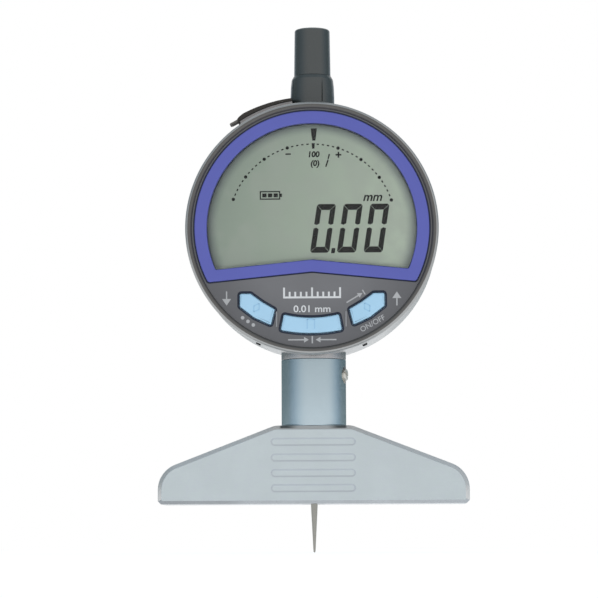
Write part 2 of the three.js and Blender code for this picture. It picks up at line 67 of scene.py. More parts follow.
# ------------------------------------------------------------------ node helpers
class Graph:
    """Small helper that adds and links shader nodes."""
    def __init__(self, tree):
        self.t = tree
    def add(self, kind, **props):
        n = self.t.nodes.new(kind)
        for k, v in props.items():
            setattr(n, k, v)
        return n
    def put(self, socket, value):
        if isinstance(value, bpy.types.NodeSocket):
            self.t.links.new(value, socket)
        else:
            socket.default_value = value
    def math(self, op, a, b=None, c=None, clamp=False):
        n = self.add("ShaderNodeMath", operation=op, use_clamp=clamp)
        for i, v in enumerate((a, b, c)):
            if v is not None:
                self.put(n.inputs[i], v)
        return n.outputs[0]
    def vec(self, op, a, b=None):
        n = self.add("ShaderNodeVectorMath", operation=op)
        self.put(n.inputs[0], a)
        if b is not None:
            self.put(n.inputs[1], b)
        return n.outputs["Value"] if op in ("DOT_PRODUCT", "LENGTH") else n.outputs[0]
    def scaled(self, v, k):
        n = self.add("ShaderNodeVectorMath", operation="SCALE")
        self.put(n.inputs[0], v)
        n.inputs["Scale"].default_value = k
        return n.outputs[0]
    def xyz(self, v):
        n = self.add("ShaderNodeSeparateXYZ")
        self.put(n.inputs[0], v)
        return n.outputs
    def combine(self, x, y, z):
        n = self.add("ShaderNodeCombineXYZ")
        for i, v in enumerate((x, y, z)):
            self.put(n.inputs[i], v)
        return n.outputs[0]
    def noise(self, v, scale, detail=3.0, rough=0.55):
        n = self.add("ShaderNodeTexNoise")
        self.put(n.inputs["Vector"], v)
        n.inputs["Scale"].default_value = scale
        n.inputs["Detail"].default_value = detail
        n.inputs["Roughness"].default_value = rough
        return n.outputs[0]
    def smooth(self, v, lo, hi, a=0.0, b=1.0):
        n = self.add("ShaderNodeMapRange", interpolation_type="SMOOTHSTEP")
        self.put(n.inputs[0], v)
        for i, x in enumerate((lo, hi, a, b)):
            self.put(n.inputs[i + 1], x)
        return n.outputs[0]
    def lin(self, v, lo, hi, a=0.0, b=1.0):
        n = self.add("ShaderNodeMapRange", clamp=True)
        self.put(n.inputs[0], v)
        for i, x in enumerate((lo, hi, a, b)):
            self.put(n.inputs[i + 1], x)
        return n.outputs[0]
    def mix(self, f, a, b, blend="MIX"):
        n = self.add("ShaderNodeMix", data_type="RGBA", blend_type=blend)
        self.put(n.inputs[0], f)
        self.put(n.inputs[6], a if isinstance(a, bpy.types.NodeSocket) else (*a, 1.0))
        self.put(n.inputs[7], b if isinstance(b, bpy.types.NodeSocket) else (*b, 1.0))
        return n.outputs[2]

def srgb(r, g, b):
    """8-bit display colour to linear."""
    return tuple(c / 12.92 if c <= 0.04045 else ((c + 0.055) / 1.055) ** 2.4 for c in (r / 255, g / 255, b / 255))

# ------------------------------------------------------------------ materials
def coordinates(g, grain, centre_z=0.0):
    """Millimetre coordinates, unrolled for turned parts so that fine lines run round them."""
    tc = g.add("ShaderNodeTexCoord")
    p = g.scaled(tc.outputs["Object"], 1000.0)
    if centre_z:
        p = g.vec("SUBTRACT", p, (0.0, 0.0, centre_z))
    x, y, z = g.xyz(p)
    if grain == "turned_z":      # lines round the Z axis
        return p, g.combine(g.math("MULTIPLY", x, 0.02), g.math("MULTIPLY", y, 0.02), g.math("ADD", z, g.vec("LENGTH", g.combine(x, y, 0.0))))
    if grain == "turned_y":      # lines round the Y axis
        return p, g.combine(g.math("MULTIPLY", x, 0.02), g.math("ADD", y, g.vec("LENGTH", g.combine(x, 0.0, z))), g.math("MULTIPLY", z, 0.02))
    if grain == "along_x":
        return p, g.combine(g.math("MULTIPLY", x, 0.05), y, z)
    if grain == "along_z":
        return p, g.combine(x, y, g.math("MULTIPLY", z, 0.05))
    return p, p

def material(name, color, rough, metallic=0.0, spec=0.5, grain="even", grain_scale=6.0, bump=0.004, rough_vary=0.1,
             vary=0.06, tint=None, spots=0.0, coat=0.0, centre_z=0.0, aniso=0.0, ior=1.5, sheen=0.0, edge=None, extra=None):
    mat = bpy.data.materials.new(name)
    mat.use_nodes = True
    mat.diffuse_color = (*color, 1.0)
    g = Graph(mat.node_tree)
    bsdf = mat.node_tree.nodes["Principled BSDF"]
    p, q = coordinates(g, grain, centre_z)
    broad = g.noise(p, 0.11, 2.0)
    cloud = g.noise(p, 0.9, 4.0)
    fine = g.noise(q, grain_scale, 5.0, 0.6)
    micro = g.noise(q, grain_scale * 3.7, 3.0, 0.6)
    dark = tuple(max(0.0, c * (1 - vary)) for c in color)
    light = tuple(min(1.0, c * (1 + vary)) for c in color)
    c = g.mix(g.smooth(broad, 0.35, 0.65), dark, light)
    if tint:
        c = g.mix(g.smooth(cloud, 0.42, 0.75, 0.0, 0.55), c, tint)
    c = g.mix(g.lin(fine, 0.3, 0.7, 0.0, 0.35), c, tuple(x * (1 - vary * 1.6) for x in color))
    if spots:      # dust and tiny marks
        tiny = g.noise(p, 5.5, 2.0)
        c = g.mix(g.smooth(tiny, 0.69, 0.76, 0.0, spots), c, tuple(min(1.0, x * 0.45 + 0.03) for x in color))
    if edge:       # (r0, r1, factor): painted shade, darker towards the rim of the dial
        px, _, pz = g.xyz(g.vec("SUBTRACT", p, (0.0, 0.0, DIAL)))
        rim = g.smooth(g.vec("LENGTH", g.combine(px, 0.0, pz)), edge[0], edge[1])
        c = g.mix(rim, c, g.mix(1.0, c, (edge[2], edge[2], edge[2] * 1.01), "MULTIPLY"))
    if extra:
        c = extra(g, p, c)
    g.put(bsdf.inputs["Base Color"], c)
    r = g.math("ADD", g.lin(cloud, 0.25, 0.75, -rough_vary * 0.5, rough_vary * 0.5), g.lin(fine, 0.25, 0.75, rough - rough_vary * 0.4, rough + rough_vary * 0.4), clamp=True)
    g.put(bsdf.inputs["Roughness"], r)
    bsdf.inputs["Metallic"].default_value = metallic
    bsdf.inputs["Specular IOR Level"].default_value = spec
    bsdf.inputs["IOR"].default_value = ior
    bsdf.inputs["Coat Weight"].default_value = coat
    bsdf.inputs["Coat Roughness"].default_value = 0.08
    bsdf.inputs["Anisotropic"].default_value = aniso
    bsdf.inputs["Sheen Weight"].default_value = sheen
    if bump:
        b = g.add("ShaderNodeBump")
        b.inputs["Strength"].default_value = 1.0
        b.inputs["Distance"].default_value = bump * MM
        g.put(b.inputs["Height"], g.math("ADD", fine, g.math("MULTIPLY", micro, 0.35)))
        g.put(bsdf.inputs["Normal"], b.outputs[0])
    return mat

def sleeve_painted_shade(g, p, c):
    """Sleeve: painted shade, darker towards its top, and a painted contact shadow at its sides where it meets the base.
    """
    x, y, z = g.xyz(p)
    upper = g.lin(z, STAND + 20.0, STAND + 33.8, 0.0, 1.0)
    c = g.mix(upper, c, g.mix(1.0, c, (0.785, 0.80, 0.80), "MULTIPLY"))
    low = g.smooth(z, STAND + 18.3, STAND + 18.65, 0.8, 0.0)
    sides = g.smooth(g.math("ABSOLUTE", x), 1.5, 5.6, 0.0, 1.0)
    return g.mix(g.math("MULTIPLY", low, sides), c, (0.035, 0.05, 0.058))

def chamfer_painted_shadow(g, p, c):
    """Painted shadow on the base's upper chamfer on either side of the sleeve's foot."""
    x, y, z = g.xyz(p)
    ax = g.math("ABSOLUTE", x)
    near = g.math("MULTIPLY", g.smooth(ax, 3.0, 6.2), g.smooth(ax, 7.4, 8.0, 1.0, 0.0))
    return g.mix(g.math("MULTIPLY", near, g.smooth(z, STAND + 17.35, STAND + 17.65, 0.0, 0.88)), c, (0.05, 0.065, 0.07))

def lapped_edge_darkening(g, p, c):
    """The broken lower edge is darker along the left third of the base."""
    x, y, z = g.xyz(p)
    return g.mix(g.smooth(x, -21.0, -14.0, 0.9, 0.25), c, g.mix(1.0, c, (0.66, 0.66, 0.66), "MULTIPLY"))

M = {}
M["base_steel"] = material("satin_base", (0.573, 0.632, 0.65), 0.38, 0.85, grain="along_x", grain_scale=4.0, bump=0.0025, vary=0.02, tint=(0.58, 0.62, 0.665))
M["base_groove"] = material("groove_upper_wall_painted_shade", (0.48, 0.52, 0.555), 0.40, 0.85, grain="along_x", bump=0.002, vary=0.02)
M["base_groove_low"] = material("groove_lower_wall_painted_shade", (0.53, 0.575, 0.61), 0.39, 0.85, grain="along_x", bump=0.002, vary=0.02)
# the chamfer carries a painted shadow beside the sleeve's foot
M["base_edge"] = material("base_chamfer", (0.742, 0.728, 0.715), 0.42, 0.7, grain="along_x", grain_scale=5.0, bump=0.0015, vary=0.02, extra=chamfer_painted_shadow)
M["base_lapped"] = material("lapped_face", (0.50, 0.53, 0.56), 0.24, 0.9, grain="along_x", grain_scale=8.0, bump=0.0012, vary=0.05, extra=lapped_edge_darkening)
# the sleeve carries painted shade towards its top and a painted contact shadow at its foot
M["sleeve_steel"] = material("turned_sleeve", (0.53, 0.63, 0.685), 0.25, 1.0, grain="turned_z", grain_scale=2.2, bump=0.0008, vary=0.012, rough_vary=0.04, extra=sleeve_painted_shade)
M["clamp_seat"] = material("countersink_painted_shadow", (0.12, 0.14, 0.15), 0.45, 0.8, grain_scale=6.0, bump=0.001, vary=0.06)
M["clamp_nickel"] = material("plated_clamp_screw", (0.74, 0.71, 0.65), 0.38, 0.7, grain_scale=6.0, bump=0.001, vary=0.04)
M["spindle_steel"] = material("ground_spindle", (0.58, 0.58, 0.57), 0.18, 1.0, grain="turned_z", grain_scale=5.0, bump=0.001, vary=0.03)
M["needle_steel"] = material("polished_needle", (0.335, 0.325, 0.295), 0.24, 1.0, grain="turned_z", grain_scale=2.5, bump=0.0006, vary=0.02, rough_vary=0.04)
M["case_silver"] = material("silver_enamel", (0.47, 0.465, 0.46), 0.36, 0.55, grain_scale=3.2, bump=0.003, vary=0.02, coat=0.2)
M["neck_silver"] = material("neck_plating", (0.42, 0.412, 0.415), 0.27, 0.95, grain="turned_z", grain_scale=2.2, bump=0.0004, vary=0.012, rough_vary=0.04)
M["bezel_rim"] = material("bezel_rim_painted_highlight", (0.40, 0.40, 0.395), 0.34, 0.6, grain="turned_y", grain_scale=3.0, bump=0.0012, vary=0.03, centre_z=DIAL)
M["bezel_metal"] = material("plated_bezel", srgb(98, 96, 94), 0.38, 0.45, grain="turned_y", grain_scale=3.0, bump=0.0012, vary=0.03, centre_z=DIAL)
# the panel is painted darker towards the dial's rim as shade
M["panel_grey"] = material("panel_plastic", srgb(118, 118, 121), 0.42, 0.0, 0.4, grain_scale=5.0, bump=0.006, vary=0.03, spots=0.05, edge=(15.0, 27.4, 0.72))
M["ridge_grey"] = material("panel_ridge", srgb(150, 150, 153), 0.45, 0.0, 0.4, grain_scale=5.0, bump=0.004, vary=0.03)
M["trough_line"] = material("panel_trough_light", srgb(66, 72, 90), 0.5, 0.0, 0.3, grain_scale=5.0, bump=0.004)
M["trough"] = material("panel_trough", srgb(52, 60, 80), 0.5, 0.0, 0.3, grain_scale=5.0, bump=0.004)
M["frame_blue"] = material("window_frame_plastic", srgb(95, 101, 183), 0.36, 0.0, 0.35, grain_scale=4.0, bump=0.003, vary=0.02)
M["button_blue"] = material("button_plastic", srgb(177, 218, 245), 0.34, 0.0, 0.4, grain_scale=4.0, bump=0.003, vary=0.02)
M["button_sign"] = material("button_sign", srgb(160, 205, 237), 0.4, 0.0, 0.4, grain_scale=4.0, bump=0.002, vary=0.02)
M["cap_grey"] = material("cap_plastic", srgb(61, 66, 66), 0.22, 0.0, 0.8, grain_scale=6.0, bump=0.0015, vary=0.04)
M["cap_edge"] = material("cap_edge_plastic", srgb(96, 101, 100), 0.3, 0.0, 0.8, grain_scale=6.0, bump=0.0015, vary=0.04)
M["cover_grey"] = material("cover_plastic", srgb(66, 70, 72), 0.5, 0.0, 0.4, grain_scale=7.0, bump=0.012, vary=0.05)
M["rubber_dark"] = material("port_rubber", srgb(66, 62, 58), 0.72, 0.0, 0.3, grain_scale=6.0, bump=0.010, vary=0.10)
M["rubber_tab"] = material("port_rubber_tab", srgb(120, 115, 110), 0.65, 0.0, 0.3, grain_scale=6.0, bump=0.008, vary=0.08)
M["seat_grey"] = material("port_seat_enamel", srgb(150, 146, 145), 0.42, 0.2, grain_scale=4.0, bump=0.003, vary=0.04)
M["screw_black"] = material("black_oxide", (0.035, 0.035, 0.038), 0.38, 0.6, grain_scale=8.0, bump=0.003, vary=0.15)
M["screw_steel"] = material("screw_steel", (0.55, 0.55, 0.54), 0.28, 1.0, grain="turned_y", grain_scale=6.0, bump=0.002, vary=0.06)
M["brass"] = material("turned_brass", (0.62, 0.50, 0.27), 0.30, 1.0, grain_scale=6.0, bump=0.002, vary=0.08)
M["alloy"] = material("machined_alloy", (0.56, 0.57, 0.58), 0.36, 1.0, grain="along_x", grain_scale=5.0, bump=0.003, vary=0.05)
M["holder_black"] = material("moulded_black", (0.022, 0.022, 0.024), 0.48, 0.0, 0.4, grain_scale=7.0, bump=0.008, vary=0.12)
M["white_plastic"] = material("moulded_white", (0.72, 0.72, 0.69), 0.48, 0.0, 0.4, grain_scale=6.0, bump=0.006, vary=0.04)
M["cell_metal"] = material("nickel_cell", (0.60, 0.60, 0.58), 0.22, 1.0, grain="turned_y", grain_scale=4.0, bump=0.0015, vary=0.05, centre_z=DIAL)
M["segment"] = material("display_segment", (0.001, 0.002, 0.0015), 0.45, 0.0, 0.05, grain_scale=9.0, bump=0.001, vary=0.10)
M["print_grey"] = material("grey_print", (0.47, 0.475, 0.485), 0.5, 0.0, 0.3, grain_scale=9.0, bump=0.002, vary=0.06)
M["print_white"] = material("white_print", (0.72, 0.73, 0.74), 0.5, 0.0, 0.3, grain_scale=9.0, bump=0.002, vary=0.06)

def board_material():
    """Solder mask with tracks and pads."""
    mat = bpy.data.materials.new("circuit_board")
    mat.use_nodes = True
    g = Graph(mat.node_tree)
    bsdf = mat.node_tree.nodes["Principled BSDF"]
    p, _ = coordinates(g, "even")
    brick = g.add("ShaderNodeTexBrick")
    x, y, z = g.xyz(p)
    g.put(brick.inputs["Vector"], g.combine(x, z, 0.0))
    brick.inputs["Scale"].default_value = 0.55
    brick.inputs["Mortar Size"].default_value = 0.035
    n = g.noise(p, 1.4, 4.0)
    base = g.mix(g.smooth(n, 0.35, 0.65), (0.010, 0.085, 0.036), (0.016, 0.12, 0.05))
    c = g.mix(g.math("MULTIPLY", brick.outputs["Fac"], 0.8), base, (0.03, 0.22, 0.09))
    dots = g.add("ShaderNodeTexVoronoi")
    g.put(dots.inputs["Vector"], p)
    dots.inputs["Scale"].default_value = 0.42
    c = g.mix(g.smooth(dots.outputs["Distance"], 0.13, 0.17, 1.0, 0.0), c, (0.60, 0.48, 0.22))
    g.put(bsdf.inputs["Base Color"], c)
    g.put(bsdf.inputs["Roughness"], g.lin(n, 0.3, 0.7, 0.28, 0.45))
    b = g.add("ShaderNodeBump")
    b.inputs["Distance"].default_value = 0.02 * MM
    g.put(b.inputs["Height"], brick.outputs["Fac"])
    g.put(bsdf.inputs["Normal"], b.outputs[0])
    return mat
M["board_green"] = board_material()

def lcd_material():
    """Grey-green display: faint fibres of the polariser, a little lighter to the lower right, with painted shade
    towards the window's rim.
    """
    mat = bpy.data.materials.new("display_polariser")
    mat.use_nodes = True
    g = Graph(mat.node_tree)
    bsdf = mat.node_tree.nodes["Principled BSDF"]
    p, q = coordinates(g, "along_x", DIAL)
    x, y, z = g.xyz(p)
    across = g.lin(g.math("ADD", x, g.math("MULTIPLY", z, -0.25)), -24.0, 22.0)
    c = g.mix(across, srgb(171, 184, 170), srgb(217, 228, 210))
    c = g.mix(g.smooth(g.noise(p, 0.16, 2.0), 0.4, 0.62, 0.0, 0.4), c, srgb(194, 200, 190))
    c = g.mix(g.lin(g.noise(q, 5.0, 3.0), 0.3, 0.7, 0.0, 0.10), c, srgb(154, 172, 152))
    # painted shade: darker towards the window's rim and its lower edge
    rim = g.math("MAXIMUM", g.smooth(g.vec("LENGTH", g.combine(x, 0.0, z)), 21.6, 24.6), g.smooth(g.math("MULTIPLY_ADD", g.math("ABSOLUTE", x), 0.1, z), -6.3, -7.7, 0.0, 0.5))
    c = g.mix(rim, c, g.mix(1.0, c, (0.44, 0.45, 0.53), "MULTIPLY"))
    g.put(bsdf.inputs["Base Color"], c)
    g.put(bsdf.inputs["Roughness"], g.lin(g.noise(p, 3.0, 2.0), 0.3, 0.7, 0.38, 0.5))
    bsdf.inputs["Specular IOR Level"].default_value = 0.3
    b = g.add("ShaderNodeBump")
    b.inputs["Distance"].default_value = 0.002 * MM
    g.put(b.inputs["Height"], g.noise(p, 7.0, 2.0))
    g.put(bsdf.inputs["Normal"], b.outputs[0])
    return mat
M["lcd_glass"] = lcd_material()

def lens_material():
    """Clear hard-coated window: faint dust and a trace of smear in the gloss."""
    mat = bpy.data.materials.new("clear_window")
    mat.use_nodes = True
    g = Graph(mat.node_tree)
    bsdf = mat.node_tree.nodes["Principled BSDF"]
    p, _ = coordinates(g, "even")
    bsdf.inputs["Base Color"].default_value = (0.97, 0.985, 0.97, 1.0)
    bsdf.inputs["Transmission Weight"].default_value = 1.0
    bsdf.inputs["IOR"].default_value = 1.33     # bloomed against reflections
    g.put(bsdf.inputs["Roughness"], g.smooth(g.noise(p, 0.5, 4.0), 0.5, 0.85, 0.0, 0.06))
    b = g.add("ShaderNodeBump")
    b.inputs["Distance"].default_value = 0.0006 * MM
    g.put(b.inputs["Height"], g.noise(p, 1.2, 2.0))
    g.put(bsdf.inputs["Normal"], b.outputs[0])
    c = g.mix(g.smooth(g.noise(p, 4.5, 2.0), 0.70, 0.78, 0.0, 0.06), (0.97, 0.985, 0.97), (0.75, 0.76, 0.74))
    g.put(bsdf.inputs["Base Color"], c)
    return mat
M["lens_clear"] = lens_material()

# ------------------------------------------------------------------ mesh helpers
def new_object(name, verts, faces, z0=0.0):
    """verts in millimetres, z counted from z0."""
    me = bpy.data.meshes.new(name)
    me.from_pydata([(x * MM, y * MM, (z + z0) * MM) for x, y, z in verts], [], faces)
    bm = bmesh.new()
    bm.from_mesh(me)
    bmesh.ops.remove_doubles(bm, verts=bm.verts, dist=2e-8)
    bmesh.ops.recalc_face_normals(bm, faces=bm.faces)
    bm.to_mesh(me)
    bm.free()
    ob = bpy.data.objects.new(name, me)
    scene.collection.objects.link(ob)
    return ob

def fillet(points, n=6):
    """Closed list of (a, b, radius): rounds the corners that have a radius."""
    out, count = [], len(points)
    for i, (x, y, r) in enumerate(points):
        p = Vector((x, y))
        if r <= 0:
            out.append((x, y))
            continue
        a, b = Vector(points[i - 1][:2]) - p, Vector(points[(i + 1) % count][:2]) - p
        la, lb = a.length, b.length
        a.normalize(); b.normalize()
        half = math.acos(max(-1, min(1, a.dot(b)))) / 2
        t = min(r / math.tan(half), la * 0.49, lb * 0.49)
        r = t * math.tan(half)
        c = p + (a + b).normalized() * (r / math.sin(half))
        s, e = p + a * t - c, p + b * t - c
        a0, a1 = math.atan2(s.y, s.x), math.atan2(e.y, e.x)
        d = (a1 - a0 + math.pi) % (2 * math.pi) - math.pi
        for k in range(n + 1):
            w = a0 + d * k / n
            out.append((c.x + r * math.cos(w), c.y + r * math.sin(w)))
    return out

def lathe(name, profile, axis="Z", z0=0.0, seg=160, n=6):
    """Closed profile of (radius, height, corner radius) turned round Z, or round Y through z0."""
    prof = fillet(profile, n)
    verts, faces, rings = [], [], []
    for r, h in prof:
        if r < 1e-6:
            rings.append([len(verts)])
            verts.append((0, h, 0) if axis == "Y" else (0, 0, h))
            continue
        ids = []
        for k in range(seg):
            a = 2 * math.pi * k / seg
            ids.append(len(verts))
            verts.append((r * math.sin(a), h, r * math.cos(a)) if axis == "Y" else (r * math.sin(a), -r * math.cos(a), h))
        rings.append(ids)
    for i in range(len(prof)):
        a, b = rings[i], rings[(i + 1) % len(prof)]
        if len(a) == 1 and len(b) == 1:
            continue
        for k in range(seg):
            j = (k + 1) % seg
            if len(a) == 1:
                faces.append((a[0], b[k], b[j]))
            elif len(b) == 1:
                faces.append((a[k], b[0], a[j]))
            else:
                faces.append((a[k], b[k], b[j], a[j]))
    return new_object(name, verts, faces, z0)

def area(pts):
    return sum(pts[i - 1][0] * pts[i][1] - pts[i][0] * pts[i - 1][1] for i in range(len(pts))) / 2

def grown(pts, off):
    """Moves every edge of a closed outline outwards by off."""
    s, n, out = (1 if area(pts) > 0 else -1), len(pts), []
    for i in range(n):
        a, b, c = Vector(pts[i - 1]), Vector(pts[i]), Vector(pts[(i + 1) % n])
        u, w = (b - a).normalized(), (c - b).normalized()
        n1, n2 = Vector((u.y, -u.x)) * s, Vector((w.y, -w.x)) * s
        m = n1 + n2
        m = m.normalized() if m.length > 1e-9 else n1
        k = off / max(0.4, m.dot(n1))
        out.append((b.x + m.x * k, b.y + m.y * k))
    return out

def plate(name, outer, holes, y0, y1, front=0.0, back=0.0, z0=0.0, n=4, crown=None):
    """Flat outline in X and Z from y0 (front) to y1, with rounded front and back edges. crown moves the front in steps of (inset, y)."""
    verts, faces = [], []
    loops = [(outer, 1)] + [(h, -1) for h in holes]
    steps = []
    for inset, y in (crown or []):
        steps.append((inset, y))
    if front:
        steps += [(front * (1 - math.sin(t * math.pi / 2 / n)), y0 + front * (1 - math.cos(t * math.pi / 2 / n))) for t in range(n + 1)]
    else:
        steps.append((0.0, y0))
    if back:
        steps += [(back * (1 - math.cos(t * math.pi / 2 / n)), y1 - back * (1 - math.sin(t * math.pi / 2 / n))) for t in range(n + 1)]
    else:
        steps.append((0.0, y1))
    first, last = [], []
    for pts, sign in loops:
        rings = []
        for inset, y in steps:
            ring = grown(pts, -inset * sign) if inset else pts
            rings.append([len(verts) + k for k in range(len(ring))])
            verts += [(x, y, z) for x, z in ring]
        for a, b in zip(rings, rings[1:]):
            for k in range(len(a)):
                j = (k + 1) % len(a)
                faces.append((a[k], b[k], b[j], a[j]))
        first.append(rings[0]); last.append(rings[-1])
    for ids in (first, last):
        flat = [i for ring in ids for i in ring]
        tris = tessellate_polygon([[Vector((verts[i][0], verts[i][2], 0)) for i in ring] for ring in ids])
        faces += [tuple(flat[k] for k in t) for t in tris]
    return new_object(name, verts, faces, z0)

def box(name, x0, x1, y0, y1, z0_, z1, z0=0.0):
    v = [(x, y, z) for x in (x0, x1) for y in (y0, y1) for z in (z0_, z1)]
    return new_object(name, v, [(0, 1, 3, 2), (4, 6, 7, 5), (0, 4, 5, 1), (2, 3, 7, 6), (0, 2, 6, 4), (1, 5, 7, 3)], z0)

def rod(name, r, a, b, seg=32, z0=0.0):
    """Cylinder from point a to point b, used as a cutter or a blank."""
    a, b = Vector(a), Vector(b)
    d = (b - a).normalized()
    u = d.orthogonal().normalized()
    w = d.cross(u)
    v, n = [], seg
    for c in (a, b):
        for k in range(n):
            t = 2 * math.pi * k / n
            p = c + (u * math.cos(t) + w * math.sin(t)) * r
            v.append(tuple(p))
    f = [tuple(range(n)), tuple(range(2 * n - 1, n - 1, -1))]
    f += [(k, (k + 1) % n, n + (k + 1) % n, n + k) for k in range(n)]
    return new_object(name, v, f, z0)

def turned(ob, angle_from_top, z0=DIAL):
    """Turns an object made upright about the dial's Y axis by an angle from +Z towards +X."""
    c = Matrix.Translation((0, 0, z0 * MM))
    ob.data.transform(c @ Matrix.Rotation(angle_from_top, 4, "Y") @ c.inverted())
    return ob

def evaluated(ob):
    bpy.context.view_layer.update()
    dg = bpy.context.evaluated_depsgraph_get()
    me = bpy.data.meshes.new_from_object(ob.evaluated_get(dg))
    ob.modifiers.clear()
    old = ob.data
    ob.data = me
    me.name = ob.name
    if old.users == 0:
        bpy.data.meshes.remove(old)
    return ob

def boolean(ob, others, op="DIFFERENCE", solver="EXACT"):
    for o in others:
        mod = ob.modifiers.new("cut", "BOOLEAN")
        mod.operation, mod.solver, mod.object = op, solver, o
        mod.material_mode = "TRANSFER"
    evaluated(ob)
    for o in others:
        bpy.data.objects.remove(o)
    return ob

def paint(ob, *mats):
    ob.data.materials.clear()
    for mt in mats:
        ob.data.materials.append(mt)
    return ob

def piece(ob, body, mat=None, replaces=(), angle=32):
    """Shades a finished piece and hangs it on its body."""
    if mat is not None:
        paint(ob, mat)
    ob.data.shade_smooth()
    ob.data.set_sharp_from_angle(angle=angle * D)
    mod = ob.modifiers.new("normals", "WEIGHTED_NORMAL")
    mod.keep_sharp = True
    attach(ob, body)
    if replaces:
        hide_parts(*replaces)
    return ob

def join(name, parts):
    bm = bmesh.new()
    for o in parts:
        bm.from_mesh(o.data)
    me = bpy.data.meshes.new(name)
    bm.to_mesh(me)
    bm.free()
    for o in parts:
        bpy.data.objects.remove(o)
    ob = bpy.data.objects.new(name, me)
    scene.collection.objects.link(ob)
    return ob

# ------------------------------------------------------------------ base
BODY = "gauge_body"
BASE_HALF, BASE_Y, BASE_TOP, TOP_HALF, CORNER_R, CORNER_Z, SLANT = 36.25, 8.5, 18.2, 8.97, 6.3, 3.34, 21.13 * D
def base_outline():
    pts = [(-BASE_HALF + 0.7, 0.0, 0), (BASE_HALF - 0.7, 0.0, 0), (BASE_HALF, 0.7, 0)]
    cx = BASE_HALF - CORNER_R
    for k in range(17):
        a = (math.pi / 2 - SLANT) * k / 16
        pts.append((cx + CORNER_R * math.cos(a), CORNER_Z + CORNER_R * math.sin(a), 0))
    pts += [(TOP_HALF, BASE_TOP, 4.5), (-TOP_HALF, BASE_TOP, 4.5)]
    for k in range(17):
        a = math.pi / 2 + SLANT + (math.pi / 2 - SLANT) * k / 16
        pts.append((-cx + CORNER_R * math.cos(a), CORNER_Z + CORNER_R * math.sin(a), 0))
    pts.append((-BASE_HALF, 0.7, 0))
    return fillet(pts, 3)

def race(z, h, x, grow=0.0, n=10):
    """Outline of a long groove with round ends."""
    r = h / 2 + grow
    c = x - h / 2
    pts = [(c + r * math.cos(a), z + r * math.sin(a)) for a in [(-math.pi / 2) + math.pi * k / n for k in range(n + 1)]]
    pts += [(-c + r * math.cos(a), z + r * math.sin(a)) for a in [(math.pi / 2) + math.pi * k / n for k in range(n + 1)]]
    return pts

outline = base_outline()
c = 0.95
def base_body():
    """Outline with a flat chamfer, broken at both of its edges, all round the front and back."""
    verts, faces, rings = [], [], []
    prof = [(c + 0.06, -BASE_Y), (c - 0.03, -BASE_Y + 0.04), (0.16, -BASE_Y + c - 0.13), (0.05, -BASE_Y + c + 0.02), (0.0, -BASE_Y + c + 0.2)]
    prof = prof + [(i, -y) for i, y in reversed(prof)]
    for inset, y in prof:
        ring = grown(outline, -inset) if inset else outline
        rings.append([len(verts) + k for k in range(len(ring))])
        verts.extend((x, y, inset * 0.75 if o[1] < 0.001 else z) for (x, z), o in zip(ring, outline))
    for a, b in zip(rings, rings[1:]):
        for k in range(len(a)):
            j = (k + 1) % len(a)
            faces.append((a[k], b[k], b[j], a[j]))
    for ring in (rings[0], rings[-1]):
        tris = tessellate_polygon([[Vector((verts[i][0], verts[i][2], 0)) for i in ring]])
        faces += [tuple(ring[k] for k in t) for t in tris]
    return new_object("bridge_base", verts, faces, STAND)
base = paint(base_body(), M["base_steel"])
cutters = []
for z in (3.6, 7.1, 10.7, 14.35):
    for s in (-1, 1):
        # shallow groove with sloping walls, open at the face
        v, f, rings = [], [], []
        wall = [(-0.3 + 0.6 * t / 8, BASE_Y - 0.12 + 0.14 * (t / 8) ** 2 * (3 - 2 * t / 8)) for t in range(9)]
        for grow, y in wall + [(0.32, BASE_Y + 0.5)]:
            pts = race(z, 1.6, 9.75, grow, 14)
            rings.append([len(v) + k for k in range(len(pts))])
            v += [(x, s * y, zz) for x, zz in pts]
        for a, b in zip(rings, rings[1:]):
            f += [(a[k], b[k], b[(k + 1) % len(a)], a[(k + 1) % len(a)]) for k in range(len(a))]
        floor_at = len(f)
        f += [tuple(rings[0]), tuple(reversed(rings[-1]))]
        o = new_object("groove", v, f, STAND)
        paint(o, M["base_groove"], M["base_steel"], M["base_groove_low"])
        for poly in o.data.polygons:      # the groove's floor keeps the finish of the face; the walls carry painted shade, the upper half darker than the lower
            if abs(poly.normal.y) > 0.995:
                poly.material_index = 1
            elif poly.center.z < (z + STAND) * MM:
                poly.material_index = 2
        cutters.append(o)
cutters.append(rod("bore", 2.7, (0, 0, -2), (0, 0, 10), 48, STAND))
cutters.append(lathe("bore_mouth", [(0, -0.6, 0), (3.2, -0.6, 0), (3.2, 0.0, 0), (2.6, 0.55, 0), (0, 0.55, 0)], "Z", STAND, 48))
cutters.append(rod("seat", 6.05, (0, 0, 8.8), (0, 0, 21), 64, STAND))
cutters.append(rod("set_hole", 1.6, (0, 5.4, 12.5), (0, 10, 12.5), 32, STAND))
for o in cutters:
    if not o.data.materials:
        paint(o, M["base_steel"])
base = boolean(base, cutters)
base.data.materials.append(M["base_lapped"])
base.data.materials.append(M["base_edge"])
lapped = len(base.data.materials) - 2
for poly in base.data.polygons:      # lapped measuring face, broken edges
    if poly.normal.z < -0.25 and poly.center.z < (STAND + 0.9) * MM:
        poly.material_index = lapped
    elif 0.55 < abs(poly.normal.y) < 0.85 and abs(poly.center.y) > (BASE_Y - c - 0.01) * MM and math.hypot(poly.center.x, poly.center.y) > 6.2 * MM:
        poly.material_index = lapped + 1
piece(base, BODY, None, ["base"], 28)

set_screw = lathe("base_grub_screw", [(0, 6.15, 0), (1.45, 6.15, 0.1), (1.45, 8.0, 0.15), (0, 8.0, 0)], "Y", STAND + 12.5, 48)
socket = lathe("socket", [(0, 7.0, 0), (0.72, 7.0, 0), (0.72, 8.6, 0), (0, 8.6, 0)], "Y", STAND + 12.5, 6)
piece(boolean(paint(set_screw, M["screw_black"]), [paint(socket, M["screw_black"])]), BODY, None, ["base_set_screw"])

